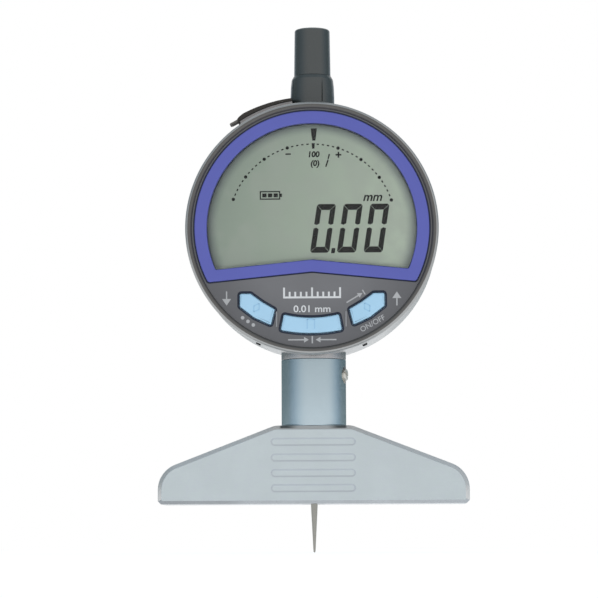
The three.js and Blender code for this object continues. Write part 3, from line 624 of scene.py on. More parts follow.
# ------------------------------------------------------------------ sleeve, clamp screw, needle
CLAMP = -14 * D
sleeve = lathe("stem_sleeve", [(3.1, 9.0, 0.1), (5.9, 9.0, 0.3), (5.9, 18.22, 0), (7.6, 18.22, 0.05),
                               (7.6, 33.83, 0.08), (4.15, 33.83, 0.1), (4.15, 18.4, 0), (3.1, 18.4, 0)], "Z", STAND, 192)
CLAMP_Z, CLAMP_R = 30.25, 1.42
hole = rod("clamp_hole", CLAMP_R + 0.12, (3.2, 0, CLAMP_Z), (10, 0, CLAMP_Z), 48, STAND)
hole.data.transform(Matrix.Rotation(CLAMP, 4, "Z"))
# shallow countersink round the clamp screw: its upper half is painted dark as shadow, its lower half in the screw's
# pale plating
v, f = [], []
for r, x in ((1.62, 6.5), (1.62, 7.15), (2.02, 7.55), (2.4, 8.2)):
    v += [(x, r * math.cos(2 * math.pi * k / 48), CLAMP_Z + r * math.sin(2 * math.pi * k / 48)) for k in range(48)]
for i in range(3):
    f += [(i * 48 + k, i * 48 + (k + 1) % 48, i * 48 + 48 + (k + 1) % 48, i * 48 + 48 + k) for k in range(48)]
f += [tuple(range(48)), tuple(range(191, 143, -1))]
sink = paint(new_object("countersink", v, f, STAND), M["clamp_seat"], M["clamp_nickel"])
for poly in sink.data.polygons:
    if poly.center.z < (CLAMP_Z + 0.4 + STAND) * MM:
        poly.material_index = 1
sink.data.transform(Matrix.Rotation(CLAMP, 4, "Z"))
sleeve = boolean(paint(sleeve, M["sleeve_steel"]), [paint(hole, M["sleeve_steel"]), sink])
piece(sleeve, BODY, None, ["sleeve"], 30)

def screw_x(name, r, x0, x1, z, mat, slot_w=0.5, slot_d=0.55, edge=0.25, turn=0.0):
    """Slotted cylindrical screw along X."""
    v, f, rings = [], [], []
    prof = [(0, x0), (r - edge, x0), (r, x0 + edge), (r, x1 - edge)] + [(r - edge * (1 - math.cos(k * math.pi / 8)), x1 - edge + edge * math.sin(k * math.pi / 8)) for k in range(1, 5)] + [(0, x1)]
    seg = 48
    for rr, x in prof:
        if rr < 1e-6:
            rings.append([len(v)]); v.append((x, 0, z)); continue
        rings.append([len(v) + k for k in range(seg)])
        v += [(x, rr * math.cos(2 * math.pi * k / seg), z + rr * math.sin(2 * math.pi * k / seg)) for k in range(seg)]
    for a, b in zip(rings, rings[1:]):
        for k in range(seg):
            j = (k + 1) % seg
            if len(a) == 1: f.append((a[0], b[k], b[j]))
            elif len(b) == 1: f.append((a[k], b[0], a[j]))
            else: f.append((a[k], b[k], b[j], a[j]))
    ob = paint(new_object(name, v, f, STAND), mat)
    cut = paint(box("slot", x1 - slot_d, x1 + 1, -r * 2, r * 2, -slot_w / 2, slot_w / 2), mat)
    cut.data.transform(Matrix.Translation((0, 0, (z + STAND) * MM)) @ Matrix.Rotation(turn, 4, "X"))
    return boolean(ob, [cut])
clamp = screw_x("clamp_screw", CLAMP_R, 4.35, 8.1, CLAMP_Z, M["clamp_nickel"], 0.4, 0.35, turn=-20 * D)
clamp.data.transform(Matrix.Rotation(CLAMP, 4, "Z"))
piece(clamp, BODY, None, ["sleeve_clamp_screw"], 30)

needle = lathe("measuring_needle", [(0, -11.3, 0), (0.11, -11.28, 0), (0.25, -11.08, 0.1), (0.81, 0.1, 0.6), (0.80, 1.05, 0.1),
                                    (1.9, 1.3, 0.1), (2.2, 1.6, 0.1), (2.2, 4.7, 0.1), (1.9, 5.0, 0.1), (0, 5.0, 0)], "Z", STAND, 96)
piece(needle, "spindle_assembly", M["needle_steel"], ["contact_needle"], 30)

# ------------------------------------------------------------------ case
def sector(name, r0, r1, a0, a1, y0, y1, n=24, z0=DIAL, edge=0.0):
    pts = [(r1 * math.sin(a0 + (a1 - a0) * i / n), r1 * math.cos(a0 + (a1 - a0) * i / n)) for i in range(n + 1)]
    pts += [(r0 * math.sin(a0 + (a1 - a0) * i / n), r0 * math.cos(a0 + (a1 - a0) * i / n)) for i in range(n, -1, -1)]
    return plate(name, pts, [], y0, y1, edge, edge, z0)

CS = M["case_silver"]
SIDE_ANGLE = {-1: 25.9, 1: 24.4}
shell = paint(lathe("case_shell", [(26.4, -11.05, 0.1), (27.8, -11.05, 0.15), (27.8, -9.6, 0), (29.3, -9.6, 0.15), (29.3, 9.7, 0.9), (28.95, 10.9, 0.15),
                                   (26.9, 10.9, 0.1), (26.9, -9.0, 0), (26.4, -9.0, 0)], "Y", DIAL, 224), CS)
adds = [lathe("neck", [(4.15, 33.9, 0.1), (7.6, 33.9, 0.06), (7.6, 36.9, 0), (4.15, 36.9, 0)], "Z", STAND, 192),
        lathe("top_neck", [(2.98, 91.5, 0), (3.9, 91.5, 0), (3.9, 96.0, 0.2), (2.98, 96.0, 0)], "Z", STAND, 64),
        sector("port_seat", 28.8, 31.2, -8.6 * D, -33 * D, -5.6, 5.6, 24, DIAL, 0.15)]
for a in (45, 135, 225, 315):
    x, z = 24.4 * math.cos(a * D), 24.4 * math.sin(a * D)
    adds.append(rod("boss", 2.6, (x, -7.8, z), (x, 9.2, z), 32, DIAL))
for o in adds:
    paint(o, M["seat_grey"] if o.name.startswith("port_seat") else M["neck_silver"] if o.name.startswith("neck") else CS)
shell = boolean(shell, adds, "UNION")
cuts = [turned(box("port_hole", -4.3, 4.3, -2.3, 2.3, 25, 34, DIAL), -21.5 * D),
        rod("seat_trim", 5.55, (0, 0, 29.6), (0, 0, 40), 96, DIAL)]
for a in (45, 135, 225, 315):
    x, z = 24.4 * math.cos(a * D), 24.4 * math.sin(a * D)
    cuts.append(rod("boss_hole", 1.1, (x, -9, z), (x, 10, z), 20, DIAL))
for s in (-1, 1):
    cuts.append(turned(rod("side_hole", 0.72, (0, -4, 24), (0, -4, 33), 32, DIAL), math.pi - s * SIDE_ANGLE[s] * D))
cuts.append(rod("stem_bore", 4.15, (0, 0, -32), (0, 0, -24), 48, DIAL))
for o in cuts:
    paint(o, CS)
shell = boolean(shell, cuts)
piece(shell, BODY, None, ["case_body"], 30)

for s, node in ((-1, "case_side_screw_left"), (1, "case_side_screw_right")):
    sc = lathe("blank", [(0, 24.3, 0), (0.6, 24.3, 0.1), (0.6, 29.65, 0.15), (0, 29.65, 0)], "Z", DIAL, 36)
    sc.data.transform(Matrix.Translation((0, -4 * MM, 0)))
    hx = rod("hex", 0.3, (0, -4, 28.9), (0, -4, 30), 6, DIAL)
    sc = boolean(paint(sc, M["screw_black"]), [paint(hx, M["screw_black"])])
    sc.name = "side_grub_screw_" + ("left" if s < 0 else "right")
    piece(turned(sc, math.pi - s * SIDE_ANGLE[s] * D), BODY, None, [node])

# ------------------------------------------------------------------ bezel ring
ring = lathe("bezel", [(27.98, -9.8, 0.1), (27.98, -12.62, 0.06), (28.3, -13.05, 0.3), (28.6, -13.18, 0.5), (28.93, -13.12, 0.15),
                       (29.28, -12.95, 0.25), (29.5, -12.5, 0.3), (29.5, -9.8, 0.15)], "Y", DIAL, 256)
paint(ring, M["bezel_metal"], M["bezel_rim"])
for poly in ring.data.polygons:      # painted highlight: the outer edge gets a paler copy of the bezel plating
    if math.hypot(poly.center.x, poly.center.z - DIAL * MM) > 28.96 * MM:
        poly.material_index = 1
piece(ring, BODY, None, ["bezel_ring"], 24)

# ------------------------------------------------------------------ front panel, frame, window
def chevron(r0, a0, b, off=0.0, corner=0.0, n=120):
    """Circle cut below by z = -(a + b|x|), with rounded lower corners."""
    r, a = r0 + off, a0 + off * math.sqrt(1 + b * b)
    x = r
    for _ in range(80):
        x = math.sqrt(max(0.0, r * r - (a + b * x) ** 2))
    start = math.atan2(-(a + b * x), x)
    end = math.pi - start
    pts = []
    for i in range(n + 1):
        t = start + (end - start) * i / n
        pts.append([r * math.cos(t), r * math.sin(t), 0])
    if corner:      # leave out the points that the corner round takes
        keep = [p for p in pts[1:-1] if math.hypot(p[0] - pts[0][0], p[1] - pts[0][1]) > corner * 1.3 and math.hypot(p[0] - pts[-1][0], p[1] - pts[-1][1]) > corner * 1.3]
        pts = [[*pts[0][:2], corner]] + keep + [[*pts[-1][:2], corner]]
    pts.append([0.0, -a, 3.0])
    return fillet(pts, 6)

FRAME = (27.33, 10.35, 0.098)
WIN = (24.45, 7.55, 0.100)
side = [(16.87, -18.45), (16.85, -15.33), (14.25, -15.33), (8.55, -19.07), (9.53, -22.87)]
def button_outline(which):
    if which == "middle":
        pts = [(-0.2 + 6.45 * t, -21.0 + 0.8 * t * t, 0.45 if abs(t) == 1 else 0) for t in [i / 12 * 2 - 1 for i in range(13)]]
        pts += [(-0.2 + 7.2 * t, -24.75 + 0.75 * t * t, 0.45 if abs(t) == 1 else 0) for t in [i / 12 * 2 - 1 for i in range(12, -1, -1)]]
        return fillet(pts, 5)
    s = 1 if which == "right" else -1
    # the long edges bow a little, as the photographed ones do
    p = [(16.87, -18.45, 0.5), (16.85, -15.33, 0.45), (14.25, -15.33, 0.5), (11.5, -17.35, 0), (8.55, -19.07, 0.4), (9.53, -22.87, 0.4), (13.5, -21.05, 0)]
    pts = fillet([(x * s, z, r) for x, z, r in p], 5)
    return pts
buttons = {w: button_outline(w) for w in ("left", "middle", "right")}

def dome(x, z):
    """Front of the panel: a very flat dome."""
    return -12.72 + 0.16 * (x * x + z * z) / (27.65 ** 2)

PR = 27.96
prof = [(0, dome(0, 0), 0)] + [(PR * k / 24, dome(PR * k / 24, 0), 0) for k in range(1, 24)]
prof += [(PR, dome(PR, 0), 0.04), (PR, -11.2, 0), (0, -11.2, 0)]
panel = paint(lathe("front_panel_plate", prof, "Y", DIAL, 192), M["panel_grey"])
# the troughs and holes round the frame, window and keys are painted dark blue-grey as their shade
cuts = [paint(plate("frame_trough", chevron(*FRAME, 0.32, 0.9), [], -14, -12.3, z0=DIAL), M["trough_line"]),
        paint(plate("frame_seat", chevron(*FRAME, 0.10, 0.8), [], -14, -11.8, z0=DIAL), M["trough"]),
        paint(plate("window_hole", chevron(*WIN, -0.25, 0.4), [], -14, -10, z0=DIAL), M["trough"])]
for w, pts in buttons.items():
    cuts.append(paint(plate("trough_" + w, grown(pts, 0.50), [], -14, -12.15, z0=DIAL), M["trough"]))
    cuts.append(paint(plate("hole_" + w, grown(pts, 0.15), [], -14, -10, z0=DIAL), M["trough"]))
panel = boolean(panel, cuts)
# thin raised ribs between the buttons
ribs = [paint(plate("rib", fillet([(x - 0.17, -23.2, 0.1), (x + 0.17, -23.2, 0.1), (x + 0.17, -19.6, 0.1), (x - 0.17, -19.6, 0.1)], 3), [], -12.82, -12.3, 0.08, 0, DIAL), M["ridge_grey"]) for x in (-8.25, 7.85)]
panel = boolean(panel, ribs, "UNION")
piece(panel, BODY, None, ["front_panel"], 25)

frame_piece = plate("display_frame", chevron(*FRAME, 0.0, 0.8), [chevron(*WIN, 0.0, 0.45)], -12.95, -11.9, 0.28, 0.05, DIAL, 5)
piece(frame_piece, BODY, M["frame_blue"], ["window_frame"], 30)
lens = plate("display_window", chevron(*WIN, -0.12, 0.4), [], -12.6, -11.9, 0.12, 0.05, DIAL, 3)
piece(lens, BODY, M["lens_clear"], ["window_lens"], 30)

# ------------------------------------------------------------------ buttons
for w, pts in buttons.items():
    top = -13.0
    crown = [(1.5, top - 0.02), (1.0, top - 0.01), (0.7, top)] if w != "middle" else [(1.4, top - 0.02), (1.0, top - 0.01), (0.7, top)]
    cap = plate("key_" + w, grown(pts, -0.10), [], top, -10.9, 0.42, 0.0, DIAL, 6)
    flange = plate("flange", grown(pts, 0.45), [], -11.1, -10.5, 0.08, 0.08, DIAL)
    cap = boolean(paint(cap, M["button_blue"]), [paint(flange, M["button_blue"])], "UNION")
    piece(cap, "button_" + w, None, ["button_" + w], 30)

# ------------------------------------------------------------------ display: segments, scale, signs
LCD_Y = -11.0
def ink(name, polygons, y, thick, mat, body=BODY, z0=DIAL, on_dome=False):
    """Thin flat figures standing on a surface."""
    verts, faces = [], []
    for pts in polygons:
        if area(pts) < 0:
            pts = pts[::-1]
        n = len(pts)
        base_i = len(verts)
        for k in (0, 1):
            for x, z in pts:
                yy = (dome(x, z) if on_dome else y)
                verts.append((x, yy - thick if k == 0 else yy + (0.04 if on_dome else 0.0), z))
        tris = tessellate_polygon([[Vector((x, z, 0)) for x, z in pts]])
        faces += [tuple(base_i + i for i in t) for t in tris]
        faces += [tuple(base_i + n + i for i in reversed(t)) for t in tris]
        faces += [(base_i + k, base_i + (k + 1) % n, base_i + n + (k + 1) % n, base_i + n + k) for k in range(n)]
    ob = new_object(name, verts, faces, z0)
    return piece(ob, body, mat, (), 40)

def zero(x0, z0, w=4.43, h=11.39, t=1.2, slant=0.150):
    """The six lit segments of a 0; the level ones are thicker, the gap sits above the middle."""
    g, c, m, u = 0.045, 0.38, 6.18, 1.38
    segs = [
        [(c + g, h), (w - c - g, h), (w - g - 0.1, h - c * 0.75), (w - t - g, h - u), (t + g, h - u), (g + 0.1, h - c * 0.75)],
        [(c + g, 0), (w - c - g, 0), (w - g - 0.1, c * 0.75), (w - t - g, u), (t + g, u), (g + 0.1, c * 0.75)],
        [(0, h - c - g), (0.1, h - c * 0.75 - g), (t, h - u - g), (t, m + 0.68), (t * 0.5, m + 0.32), (0, m + 0.55)],
        [(0, c + g), (0.1, c * 0.75 + g), (t, u + g), (t, m - 0.68), (t * 0.5, m - 0.32), (0, m - 0.55)],
    ]
    segs += [[(w - x, z) for x, z in s] for s in segs[2:4]]
    return [[(x0 + x + (z0 + z + 5.9) * slant, z0 + z) for x, z in s] for s in segs]

def disc(x, z, r, n=18):
    return [(x + r * math.cos(2 * math.pi * k / n), z + r * math.sin(2 * math.pi * k / n)) for k in range(n)]
def bar(x0, z0, x1, z1, w):
    d = Vector((x1 - x0, z1 - z0)).normalized()
    n = Vector((-d.y, d.x)) * w / 2
    return [(x0 - n.x, z0 - n.y), (x1 - n.x, z1 - n.y), (x1 + n.x, z1 + n.y), (x0 + n.x, z0 + n.y)]

figures = []
for x0 in (-0.48, 5.75, 11.96):
    figures += zero(x0, -5.81)
figures.append([(4.42, -5.95), (5.28, -5.95), (5.44, -4.75), (4.58, -4.75)])
ink("display_digits", figures, LCD_Y, 0.03, M["segment"])

marks = []
cx, cz, R = 0.04, 0.19, 19.525
for k in range(-20, 21):
    a = (3.535 * k + 0.65) * D
    if k == 0:
        continue
    x, z = cx + R * math.sin(a), cz + R * math.cos(a)
    if k % 5 == 0:
        marks.append(disc(x, z, 0.40))
    else:
        t = Vector((math.cos(a), -math.sin(a)))
        marks.append(bar(x - t.x * 0.27, z - t.y * 0.27, x + t.x * 0.27, z + t.y * 0.27, 0.30))
marks.append([(-0.16, 23.42), (1.26, 23.42), (1.06, 21.6), (0.90, 20.55), (0.18, 20.55), (0.02, 21.6)])
marks.append([(0.02, 19.95), (0.76, 19.95), (0.66, 18.65), (0.12, 18.65)])
marks.append(bar(-6.1, 17.4, -4.85, 17.4, 0.34))
marks += [bar(5.6, 17.15, 6.95, 17.15, 0.36), bar(6.27, 17.85, 6.27, 16.45, 0.36)]
marks.append(bar(4.15, 17.35, 3.85, 16.2, 0.32))
marks.append(bar(3.85, 16.0, 3.3, 14.35, 0.32))
# small plain battery sign at the left
bx0, bx1, bz0, bz1, bw = -12.0, -7.5, 6.85, 8.6, 0.28
marks += [bar(bx0, bz0, bx1, bz0, bw), bar(bx0, bz1, bx1, bz1, bw), bar(bx0, bz0 - bw / 2, bx0, bz1 + bw / 2, bw), bar(bx1, bz0 - bw / 2, bx1, bz1 + bw / 2, bw),
          bar(bx1 + 0.14, 7.72, bx1 + 0.55, 7.72, 0.8)]
for k in range(3):
    marks.append([(bx0 + 0.45 + k * 1.32, bz0 + 0.42), (bx0 + 1.45 + k * 1.32, bz0 + 0.42), (bx0 + 1.45 + k * 1.32, bz1 - 0.42), (bx0 + 0.45 + k * 1.32, bz1 - 0.42)])
ink("display_scale", marks, LCD_Y, 0.03, M["segment"])

def lettering(name, text, x, z, size, mat, angle=0.0, shear=0.0, y=LCD_Y, thick=0.03, on_dome=False, bold=0.0, spacing=1.0, width=1.0):
    """Plain characters, centred on x and z."""
    cu = bpy.data.curves.new(name, "FONT")
    cu.body, cu.size, cu.shear, cu.offset = text, size, shear, bold
    cu.align_x, cu.align_y = "CENTER", "CENTER"
    cu.space_character = spacing
    cu.extrude = 0.0
    cu.resolution_u = 6
    tmp = bpy.data.objects.new(name + "_text", cu)
    scene.collection.objects.link(tmp)
    bpy.context.view_layer.update()
    me = bpy.data.meshes.new_from_object(tmp.evaluated_get(bpy.context.evaluated_depsgraph_get()))
    bpy.data.objects.remove(tmp)
    bpy.data.curves.remove(cu)
    bm = bmesh.new()
    bm.from_mesh(me)
    bmesh.ops.remove_doubles(bm, verts=bm.verts, dist=1e-5)
    bmesh.ops.dissolve_limit(bm, angle_limit=0.01, verts=bm.verts, edges=bm.edges)
    ca, sa = math.cos(angle), math.sin(angle)
    res = bmesh.ops.extrude_face_region(bm, geom=bm.faces[:])
    lifted = {v for v in res["geom"] if isinstance(v, bmesh.types.BMVert)}
    for v in bm.verts:
        px, pz = v.co.x * width, v.co.y
        rx, rz = x + px * ca - pz * sa, z + px * sa + pz * ca
        yy = dome(rx, rz) if on_dome else y
        v.co = Vector((rx * MM, (yy - thick if v in lifted else yy + (0.04 if on_dome else 0.0)) * MM, (rz + DIAL) * MM))
    bmesh.ops.recalc_face_normals(bm, faces=bm.faces)
    bm.to_mesh(me)
    bm.free()
    ob = bpy.data.objects.new(name, me)
    scene.collection.objects.link(ob)
    return piece(ob, BODY, mat, (), 40)

lettering("display_unit", "mm", 14.1, 7.15, 2.9, M["segment"], shear=0.25, bold=0.06)
lettering("display_small_upper", "100", 0.4, 17.25, 1.85, M["segment"], shear=0.12, bold=0.07)
lettering("display_small_lower", "(0)", 0.75, 15.15, 1.85, M["segment"], shear=0.12, bold=0.07)

# ------------------------------------------------------------------ printed signs on the panel
def moved(poly, x, z, angle=0.0):
    ca, sa = math.cos(angle), math.sin(angle)
    return [(x + px * ca - pz * sa, z + px * sa + pz * ca) for px, pz in poly]
def arrow(x, z0_, z1, head=1.05, shaft=0.30):
    s = 1 if z1 > z0_ else -1
    return [[(x - shaft / 2, z0_), (x + shaft / 2, z0_), (x + shaft / 2, z1 - s * 1.3), (x - shaft / 2, z1 - s * 1.3)],
            [(x - head, z1 - s * 1.55), (x + head, z1 - s * 1.55), (x, z1)]]
greys = arrow(-19.85, -14.85, -18.15) + arrow(19.65, -18.35, -15.1)
prints = []
# plain tick scale above the buttons
for k in range(-5, 6):
    h = 2.3 if k % 5 == 0 else 1.3
    prints.append(bar(k * 1.3, -16.35, k * 1.3, -16.35 + h, 0.44))
prints.append(bar(-6.72, -16.35, 6.72, -16.35, 0.44))
# generic key signs: three dots, arrows to a line, arrow out of a box
for k in (-1, 0, 1):
    greys.append(disc(-14.9 + k * 1.5 * math.cos(-34 * D), -21.85 + k * 1.5 * math.sin(-34 * D), 0.42))
greys += [bar(-5.6, -26.2, -1.9, -26.2, 0.3), [(-1.9, -25.55), (-1.9, -26.85), (-0.8, -26.2)],
           bar(1.9, -26.2, 5.6, -26.2, 0.3), [(1.9, -25.55), (0.8, -26.2), (1.9, -26.85)], bar(0, -25.35, 0, -27.05, 0.32)]
for poly in ([(-2.3, -0.15), (1.0, -0.15), (1.0, 0.15), (-2.3, 0.15)], [(0.9, -0.62), (2.0, 0.0), (0.9, 0.62)], [(2.25, -0.62), (2.52, -0.62), (2.52, 0.62), (2.25, 0.62)]):
    greys.append(moved(poly, 9.95, -16.45, 31 * D))
ink("panel_key_signs", greys, 0.0, 0.012, M["print_grey"], on_dome=True)
ink("panel_signs", prints, 0.0, 0.012, M["print_white"], on_dome=True)
lettering("panel_resolution", "0.01 mm", 0.0, -19.1, 2.2, M["print_white"], on_dome=True, thick=0.012, bold=0.03, width=1.12)
lettering("panel_switch_label", "ON/OFF", 14.0, -22.55, 1.75, M["print_grey"], angle=29 * D, on_dome=True, thick=0.012, bold=0.012)

# faint moulded signs on the keys
for w, (x, z), a in (("left", (-12.9, -18.7), -33), ("middle", (-0.3, -22.6), 0), ("right", (12.75, -18.75), 31)):
    sign = ([bar(-0.75, 0, 0, 1.15, 0.28), bar(0, 1.15, 0.75, 0, 0.28), bar(0.75, 0, 0, -1.15, 0.28), bar(0, -1.15, -0.75, 0, 0.28)] if w != "middle" else
            [bar(-0.85, -1.1, -0.85, 1.1, 0.3), bar(0.85, -1.1, 0.85, 1.1, 0.3), bar(-0.85, 1.1, 0.85, 1.1, 0.3)])
    ink("key_sign_" + w, [moved(q, x, z, a * D) for q in sign], -13.0, 0.008, M["button_sign"], "button_" + w)

# ------------------------------------------------------------------ back cover, battery cover
CG = M["cover_grey"]
cover = paint(lathe("rear_cover", [(0, 11.6, 0), (25.4, 11.6, 0), (25.4, 9.6, 0.1), (26.65, 9.6, 0.1), (26.65, 11.0, 0), (28.95, 11.0, 0.1), (28.95, 12.0, 0.5),
                                   (28.1, 13.2, 0.6), (14.6, 13.2, 0.1), (14.45, 13.05, 0.05), (14.15, 13.05, 0.05), (14.0, 13.2, 0.1), (0, 13.2, 0)], "Y", DIAL, 224), CG)
adds, cuts = [], [rod("lid_seat", 12.2, (0, 11, 0), (0, 15, 0), 96, DIAL)]
for a in (45, 135, 225, 315):
    x, z = 24.4 * math.cos(a * D), 24.4 * math.sin(a * D)
    adds.append(paint(rod("pad", 2.1, (x, 9.4, z), (x, 12, z), 32, DIAL), CG))
    cuts.append(rod("hole", 1.1, (x, 9, z), (x, 15, z), 24, DIAL))
    cuts.append(rod("head_seat", 2.05, (x, 12.3, z), (x, 15, z), 40, DIAL))
for a in (30, 210):
    cuts.append(sector("notch", 8, 13.5, (a - 18) * D, (a + 18) * D, 11, 15))
# finger ribs round the rim of the cover and a dot that shows the closed position
for k in range(3):
    for s in (-1, 1):
        cuts.append(box("rib", -5.0, 5.0, 12.95, 14, s * (17.6 + k * 1.6) - 0.3, s * (17.6 + k * 1.6) + 0.3, DIAL))
cuts.append(rod("mark", 0.5, (0, 13.0, 15.6), (0, 14, 15.6), 24, DIAL))
cover = boolean(cover, adds, "UNION", "MANIFOLD")
for o in cuts:
    paint(o, CG)
cover = boolean(cover, cuts, "DIFFERENCE", "MANIFOLD")
piece(cover, BODY, None, ["back_cover"], 28)
for i, a in enumerate((45, 135, 225, 315)):
    x, z = 24.4 * math.cos(a * D), 24.4 * math.sin(a * D)
    head = lathe("rear_screw_%d" % (i + 1), [(0, 5.0, 0), (0.95, 5.0, 0.15), (0.95, 12.4, 0), (1.9, 12.4, 0.1), (1.9, 13.1, 0.32), (0, 13.1, 0)], "Y", DIAL, 48)
    cut = []
    for k in (0, 1):
        cut.append(box("cross", *((-0.24, 0.24, 12.7, 14, -1.25, 1.25) if k else (-1.25, 1.25, 12.7, 14, -0.24, 0.24)), DIAL))
    head = boolean(paint(head, M["screw_steel"]), [paint(o, M["screw_steel"]) for o in cut])
    head.data.transform(Matrix.Translation((x * MM, 0, z * MM)))
    piece(head, BODY, None, ["back_cover_screw_%d" % (i + 1)], 30)

lid = lathe("battery_lid", [(0, 10.95, 0), (11.3, 10.95, 0.1), (11.3, 11.75, 0), (12.0, 11.75, 0.05), (12.0, 13.1, 0.3), (9.4, 13.1, 0.1), (9.2, 12.85, 0.1), (0, 12.85, 0)], "Y", DIAL, 160)
bridge = plate("bridge", fillet([(-8.6, -1.9, 1.0), (8.6, -1.9, 1.0), (8.6, 1.9, 1.0), (-8.6, 1.9, 1.0)], 5), [], 12.0, 13.1, 0, 0.2, DIAL)
lugs = [sector("lug", 10.5, 13.2, (a - 14) * D, (a + 14) * D, 10.95, 11.5) for a in (90, 270)]
lid = boolean(paint(lid, CG), [paint(bridge, CG)] + [paint(o, CG) for o in lugs], "UNION")
coin = plate("coin_slot", fillet([(-7.5, -0.8, 0.75), (7.5, -0.8, 0.75), (7.5, 0.8, 0.75), (-7.5, 0.8, 0.75)], 5), [], 12.3, 14, 0, 0, DIAL)
dot = rod("lid_mark", 0.45, (0, 12.95, 10.6), (0, 14, 10.6), 24, DIAL)
lid = boolean(lid, [paint(coin, CG), paint(dot, CG)])
piece(lid, "battery_cover", None, ["battery_cover"], 28)

# ------------------------------------------------------------------ data port cover
def strip_radius(a):
    """Outer radius of the strip by angle from the top."""
    for (a0, r0), (a1, r1) in (((-8.5, 31.95), (-20.8, 32.17)), ((-20.8, 32.17), (-30.0, 32.40)), ((-30.0, 32.40), (-33.6, 32.15))):
        if a >= a1 * D:
            return r0 + (r1 - r0) * (a / D - a0) / (a1 - a0)
    return 32.15

def arc_bar(name, r0, y, a0, a1, n, edge, mat, taper=0.0, tail=()):
    """Strip bent round the dial axis, with rounded edges. taper thins it over that many degrees before a1, tail goes straight on from there."""
    v, f, rings = [], [], []
    for i in range(n + 1):
        a = a0 + (a1 - a0) * i / n
        lo, hi = r0, strip_radius(a)
        if taper:
            t = min(1.0, max(0.0, 1 - (a - a1) / (taper * D)))
            lo, hi = lo + 0.2 * t ** 3, hi - 0.22 * t ** 3
        sec = fillet([(lo, -y, edge), (hi, -y, edge), (hi, y, edge), (lo, y, edge)], 4)
        rings.append([len(v) + k for k in range(len(sec))])
        v += [(r * math.sin(a), yy, r * math.cos(a)) for r, yy in sec]
    for far, lo, hi, ya, yb, rnd in tail:
        sec = fillet([(lo, ya, rnd), (hi, ya, rnd), (hi, yb, rnd), (lo, yb, rnd)], 4)
        rings.append([len(v) + k for k in range(len(sec))])
        v += [(r * math.sin(a1) - far * math.cos(a1), yy, r * math.cos(a1) + far * math.sin(a1)) for r, yy in sec]
    for a, b in zip(rings, rings[1:]):
        f += [(a[k], b[k], b[(k + 1) % len(a)], a[(k + 1) % len(a)]) for k in range(len(a))]
    f += [tuple(rings[0]), tuple(reversed(rings[-1]))]
    ob = paint(new_object(name, v, f, DIAL), mat, M["rubber_tab"])
    for poly in ob.data.polygons:
        if -poly.center.x * math.cos(a1) + (poly.center.z - DIAL * MM) * math.sin(a1) > 0.02 * MM:
            poly.material_index = 1
    return ob
RB = M["rubber_dark"]
anchor = arc_bar("port_strip_fixed", 31.28, 5.6, -8.5 * D, -12.855 * D, 8, 0.15, RB)
anchor = boolean(anchor, [paint(rod("round_collar", 5.55, (0, 0, 20), (0, 0, 40), 96, DIAL), RB)])
piece(anchor, BODY, None, ["port_cover_anchor"], 35)
flap = arc_bar("port_flap", 31.28, 5.6, -12.875 * D, -33.6 * D, 44, 0.15, RB, 1.6,
               [(0.0, 31.44, 31.97, -5.2, -1.6, 0.15), (0.8, 31.50, 32.03, -5.2, -1.6, 0.15), (1.5, 31.58, 32.12, -5.15, -1.65, 0.15), (1.9, 31.68, 32.16, -5.0, -1.8, 0.13), (2.05, 31.80, 32.08, -4.8, -2.0, 0.05)])
plug = turned(plate("plug", fillet([(-2.6, 30.15, 0.3), (2.6, 30.15, 0.3), (2.6, 31.6, 0), (-2.6, 31.6, 0)], 4), [], -1.85, 1.85, 0.15, 0.15, DIAL), -21.5 * D)
flap = boolean(flap, [paint(plug, RB)], "UNION")
piece(flap, "port_cover", None, ["port_cover"], 35)

# ------------------------------------------------------------------ collar and dust cap
collar = lathe("cap_base_collar", [(4.05, 92.0, 0), (5.2, 92.0, 0), (5.2, 96.5, 3.0), (5.10, 99.0, 2.0), (4.93, 100.6, 0.8), (4.48, 101.46, 0.15), (4.36, 101.48, 0.03), (4.05, 101.48, 0)], "Z", STAND, 160)
cuts = [rod("case_clear", 29.5, (0, -9, 64), (0, 9, 64), 160, STAND)]
for k in range(4):
    s = box("slot", -0.17, 0.17, -6.2, -4.92, 94.9, 102.2, STAND)
    s.data.transform(Matrix.Rotation((27.3 + 90 * k) * D, 4, "Z"))
    cuts.append(s)
for o in cuts:
    paint(o, M["cap_grey"])
collar = boolean(paint(collar, M["cap_grey"]), cuts)
piece(collar, BODY, None, ["cap_collar"], 30)
cap = lathe("spindle_dust_cap", [(0, 112.75, 0), (4.17, 112.75, 0.5), (4.33, 101.55, 0.03), (3.9, 101.55, 0), (3.9, 96.7, 0.1), (3.3, 96.7, 0.1), (3.3, 111.6, 0.3), (0, 111.6, 0)], "Z", STAND, 160)
paint(cap, M["cap_grey"], M["cap_edge"])
for poly in cap.data.polygons:      # the rounding of the upper rim is a lighter grey
    if 0.2 < poly.normal.z < 0.9 and poly.center.z > (STAND + 112.1) * MM:
        poly.material_index = 1
piece(cap, BODY, None, ["dust_cap"], 28)

# ------------------------------------------------------------------ finishes of the nodes that stay
slots = {s["node"]: s["material_slot"] for s in frame["record"]["subparts"]}
for name, ob in cad.items():
    if not ob.hide_render:
        mat = M.get(slots.get(name, ""), M["alloy"])
        if name == "scale_strip":
            mat = M["cell_metal"]
        ob.data.materials.clear()
        ob.data.materials.append(mat)

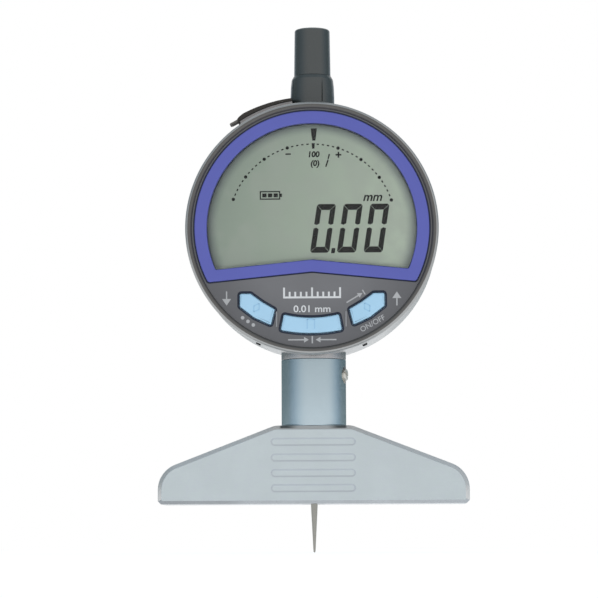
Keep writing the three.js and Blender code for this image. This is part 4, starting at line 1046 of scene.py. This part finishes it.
# ------------------------------------------------------------------ floor and light
floor = bpy.data.meshes.new("floor")
floor.from_pydata([(-3, -3, 0), (3, -3, 0), (3, 3, 0), (-3, 3, 0)], [], [(0, 1, 2, 3)])
floor_ob = bpy.data.objects.new("floor", floor)
scene.collection.objects.link(floor_ob)
fm = bpy.data.materials.new("pale_floor")
fm.use_nodes = True
fb = fm.node_tree.nodes["Principled BSDF"]
fb.inputs["Base Color"].default_value = (0.55, 0.55, 0.55, 1)
fb.inputs["Roughness"].default_value = 0.85
fb.inputs["Emission Color"].default_value = (1, 1, 1, 1)
fb.inputs["Emission Strength"].default_value = 0.70
floor_ob.data.materials.append(fm)

world = bpy.data.worlds.new("studio")
scene.world = world
world.use_nodes = True
g = Graph(world.node_tree)
bg = world.node_tree.nodes["Background"]
out = world.node_tree.nodes["World Output"]
tc = g.add("ShaderNodeTexCoord")
d = tc.outputs["Generated"]
x, y, z = g.xyz(d)
az = g.math("MULTIPLY", g.math("ARCTAN2", x, g.math("MULTIPLY", y, -1.0)), 180 / math.pi)     # 0 in front, + to the right
el = g.math("MULTIPLY", g.math("ARCSINE", z), 180 / math.pi)
# a wide soft light in front, dark at the low back, lighter again high at the back, dim overhead
side = g.math("MULTIPLY", g.smooth(az, -103, -22), g.smooth(az, 50, 119, 1.0, 0.0))
back_high = g.math("MULTIPLY", g.smooth(g.math("ABSOLUTE", az), 120, 155), g.smooth(el, 6, 13))
overhead = g.smooth(el, 42, 68)
level = g.math("MAXIMUM", side, back_high)
level = g.math("ADD", g.math("MULTIPLY", level, g.math("SUBTRACT", 1.0, overhead)), g.math("MULTIPLY", overhead, 0.36))
red, green, blue = (g.math("ADD", lo, g.math("MULTIPLY", g.math("POWER", level, power), 0.84 - lo))
                    for lo, power in ((0.17, 1.25), (0.225, 1.0), (0.235, 0.75)))
g.put(bg.inputs["Color"], g.combine(red, green, blue))
bg.inputs["Strength"].default_value = 1.0
plain = g.add("ShaderNodeBackground")
plain.inputs["Color"].default_value = (1, 1, 1, 1)
plain.inputs["Strength"].default_value = 1.0
lp = g.add("ShaderNodeLightPath")
mixs = g.add("ShaderNodeMixShader")
g.put(mixs.inputs[0], lp.outputs["Is Camera Ray"])
g.t.links.new(bg.outputs[0], mixs.inputs[1])
g.t.links.new(plain.outputs[0], mixs.inputs[2])
g.t.links.new(mixs.outputs[0], out.inputs[0])

scene.view_settings.view_transform = "Standard"
scene.view_settings.look = "None"
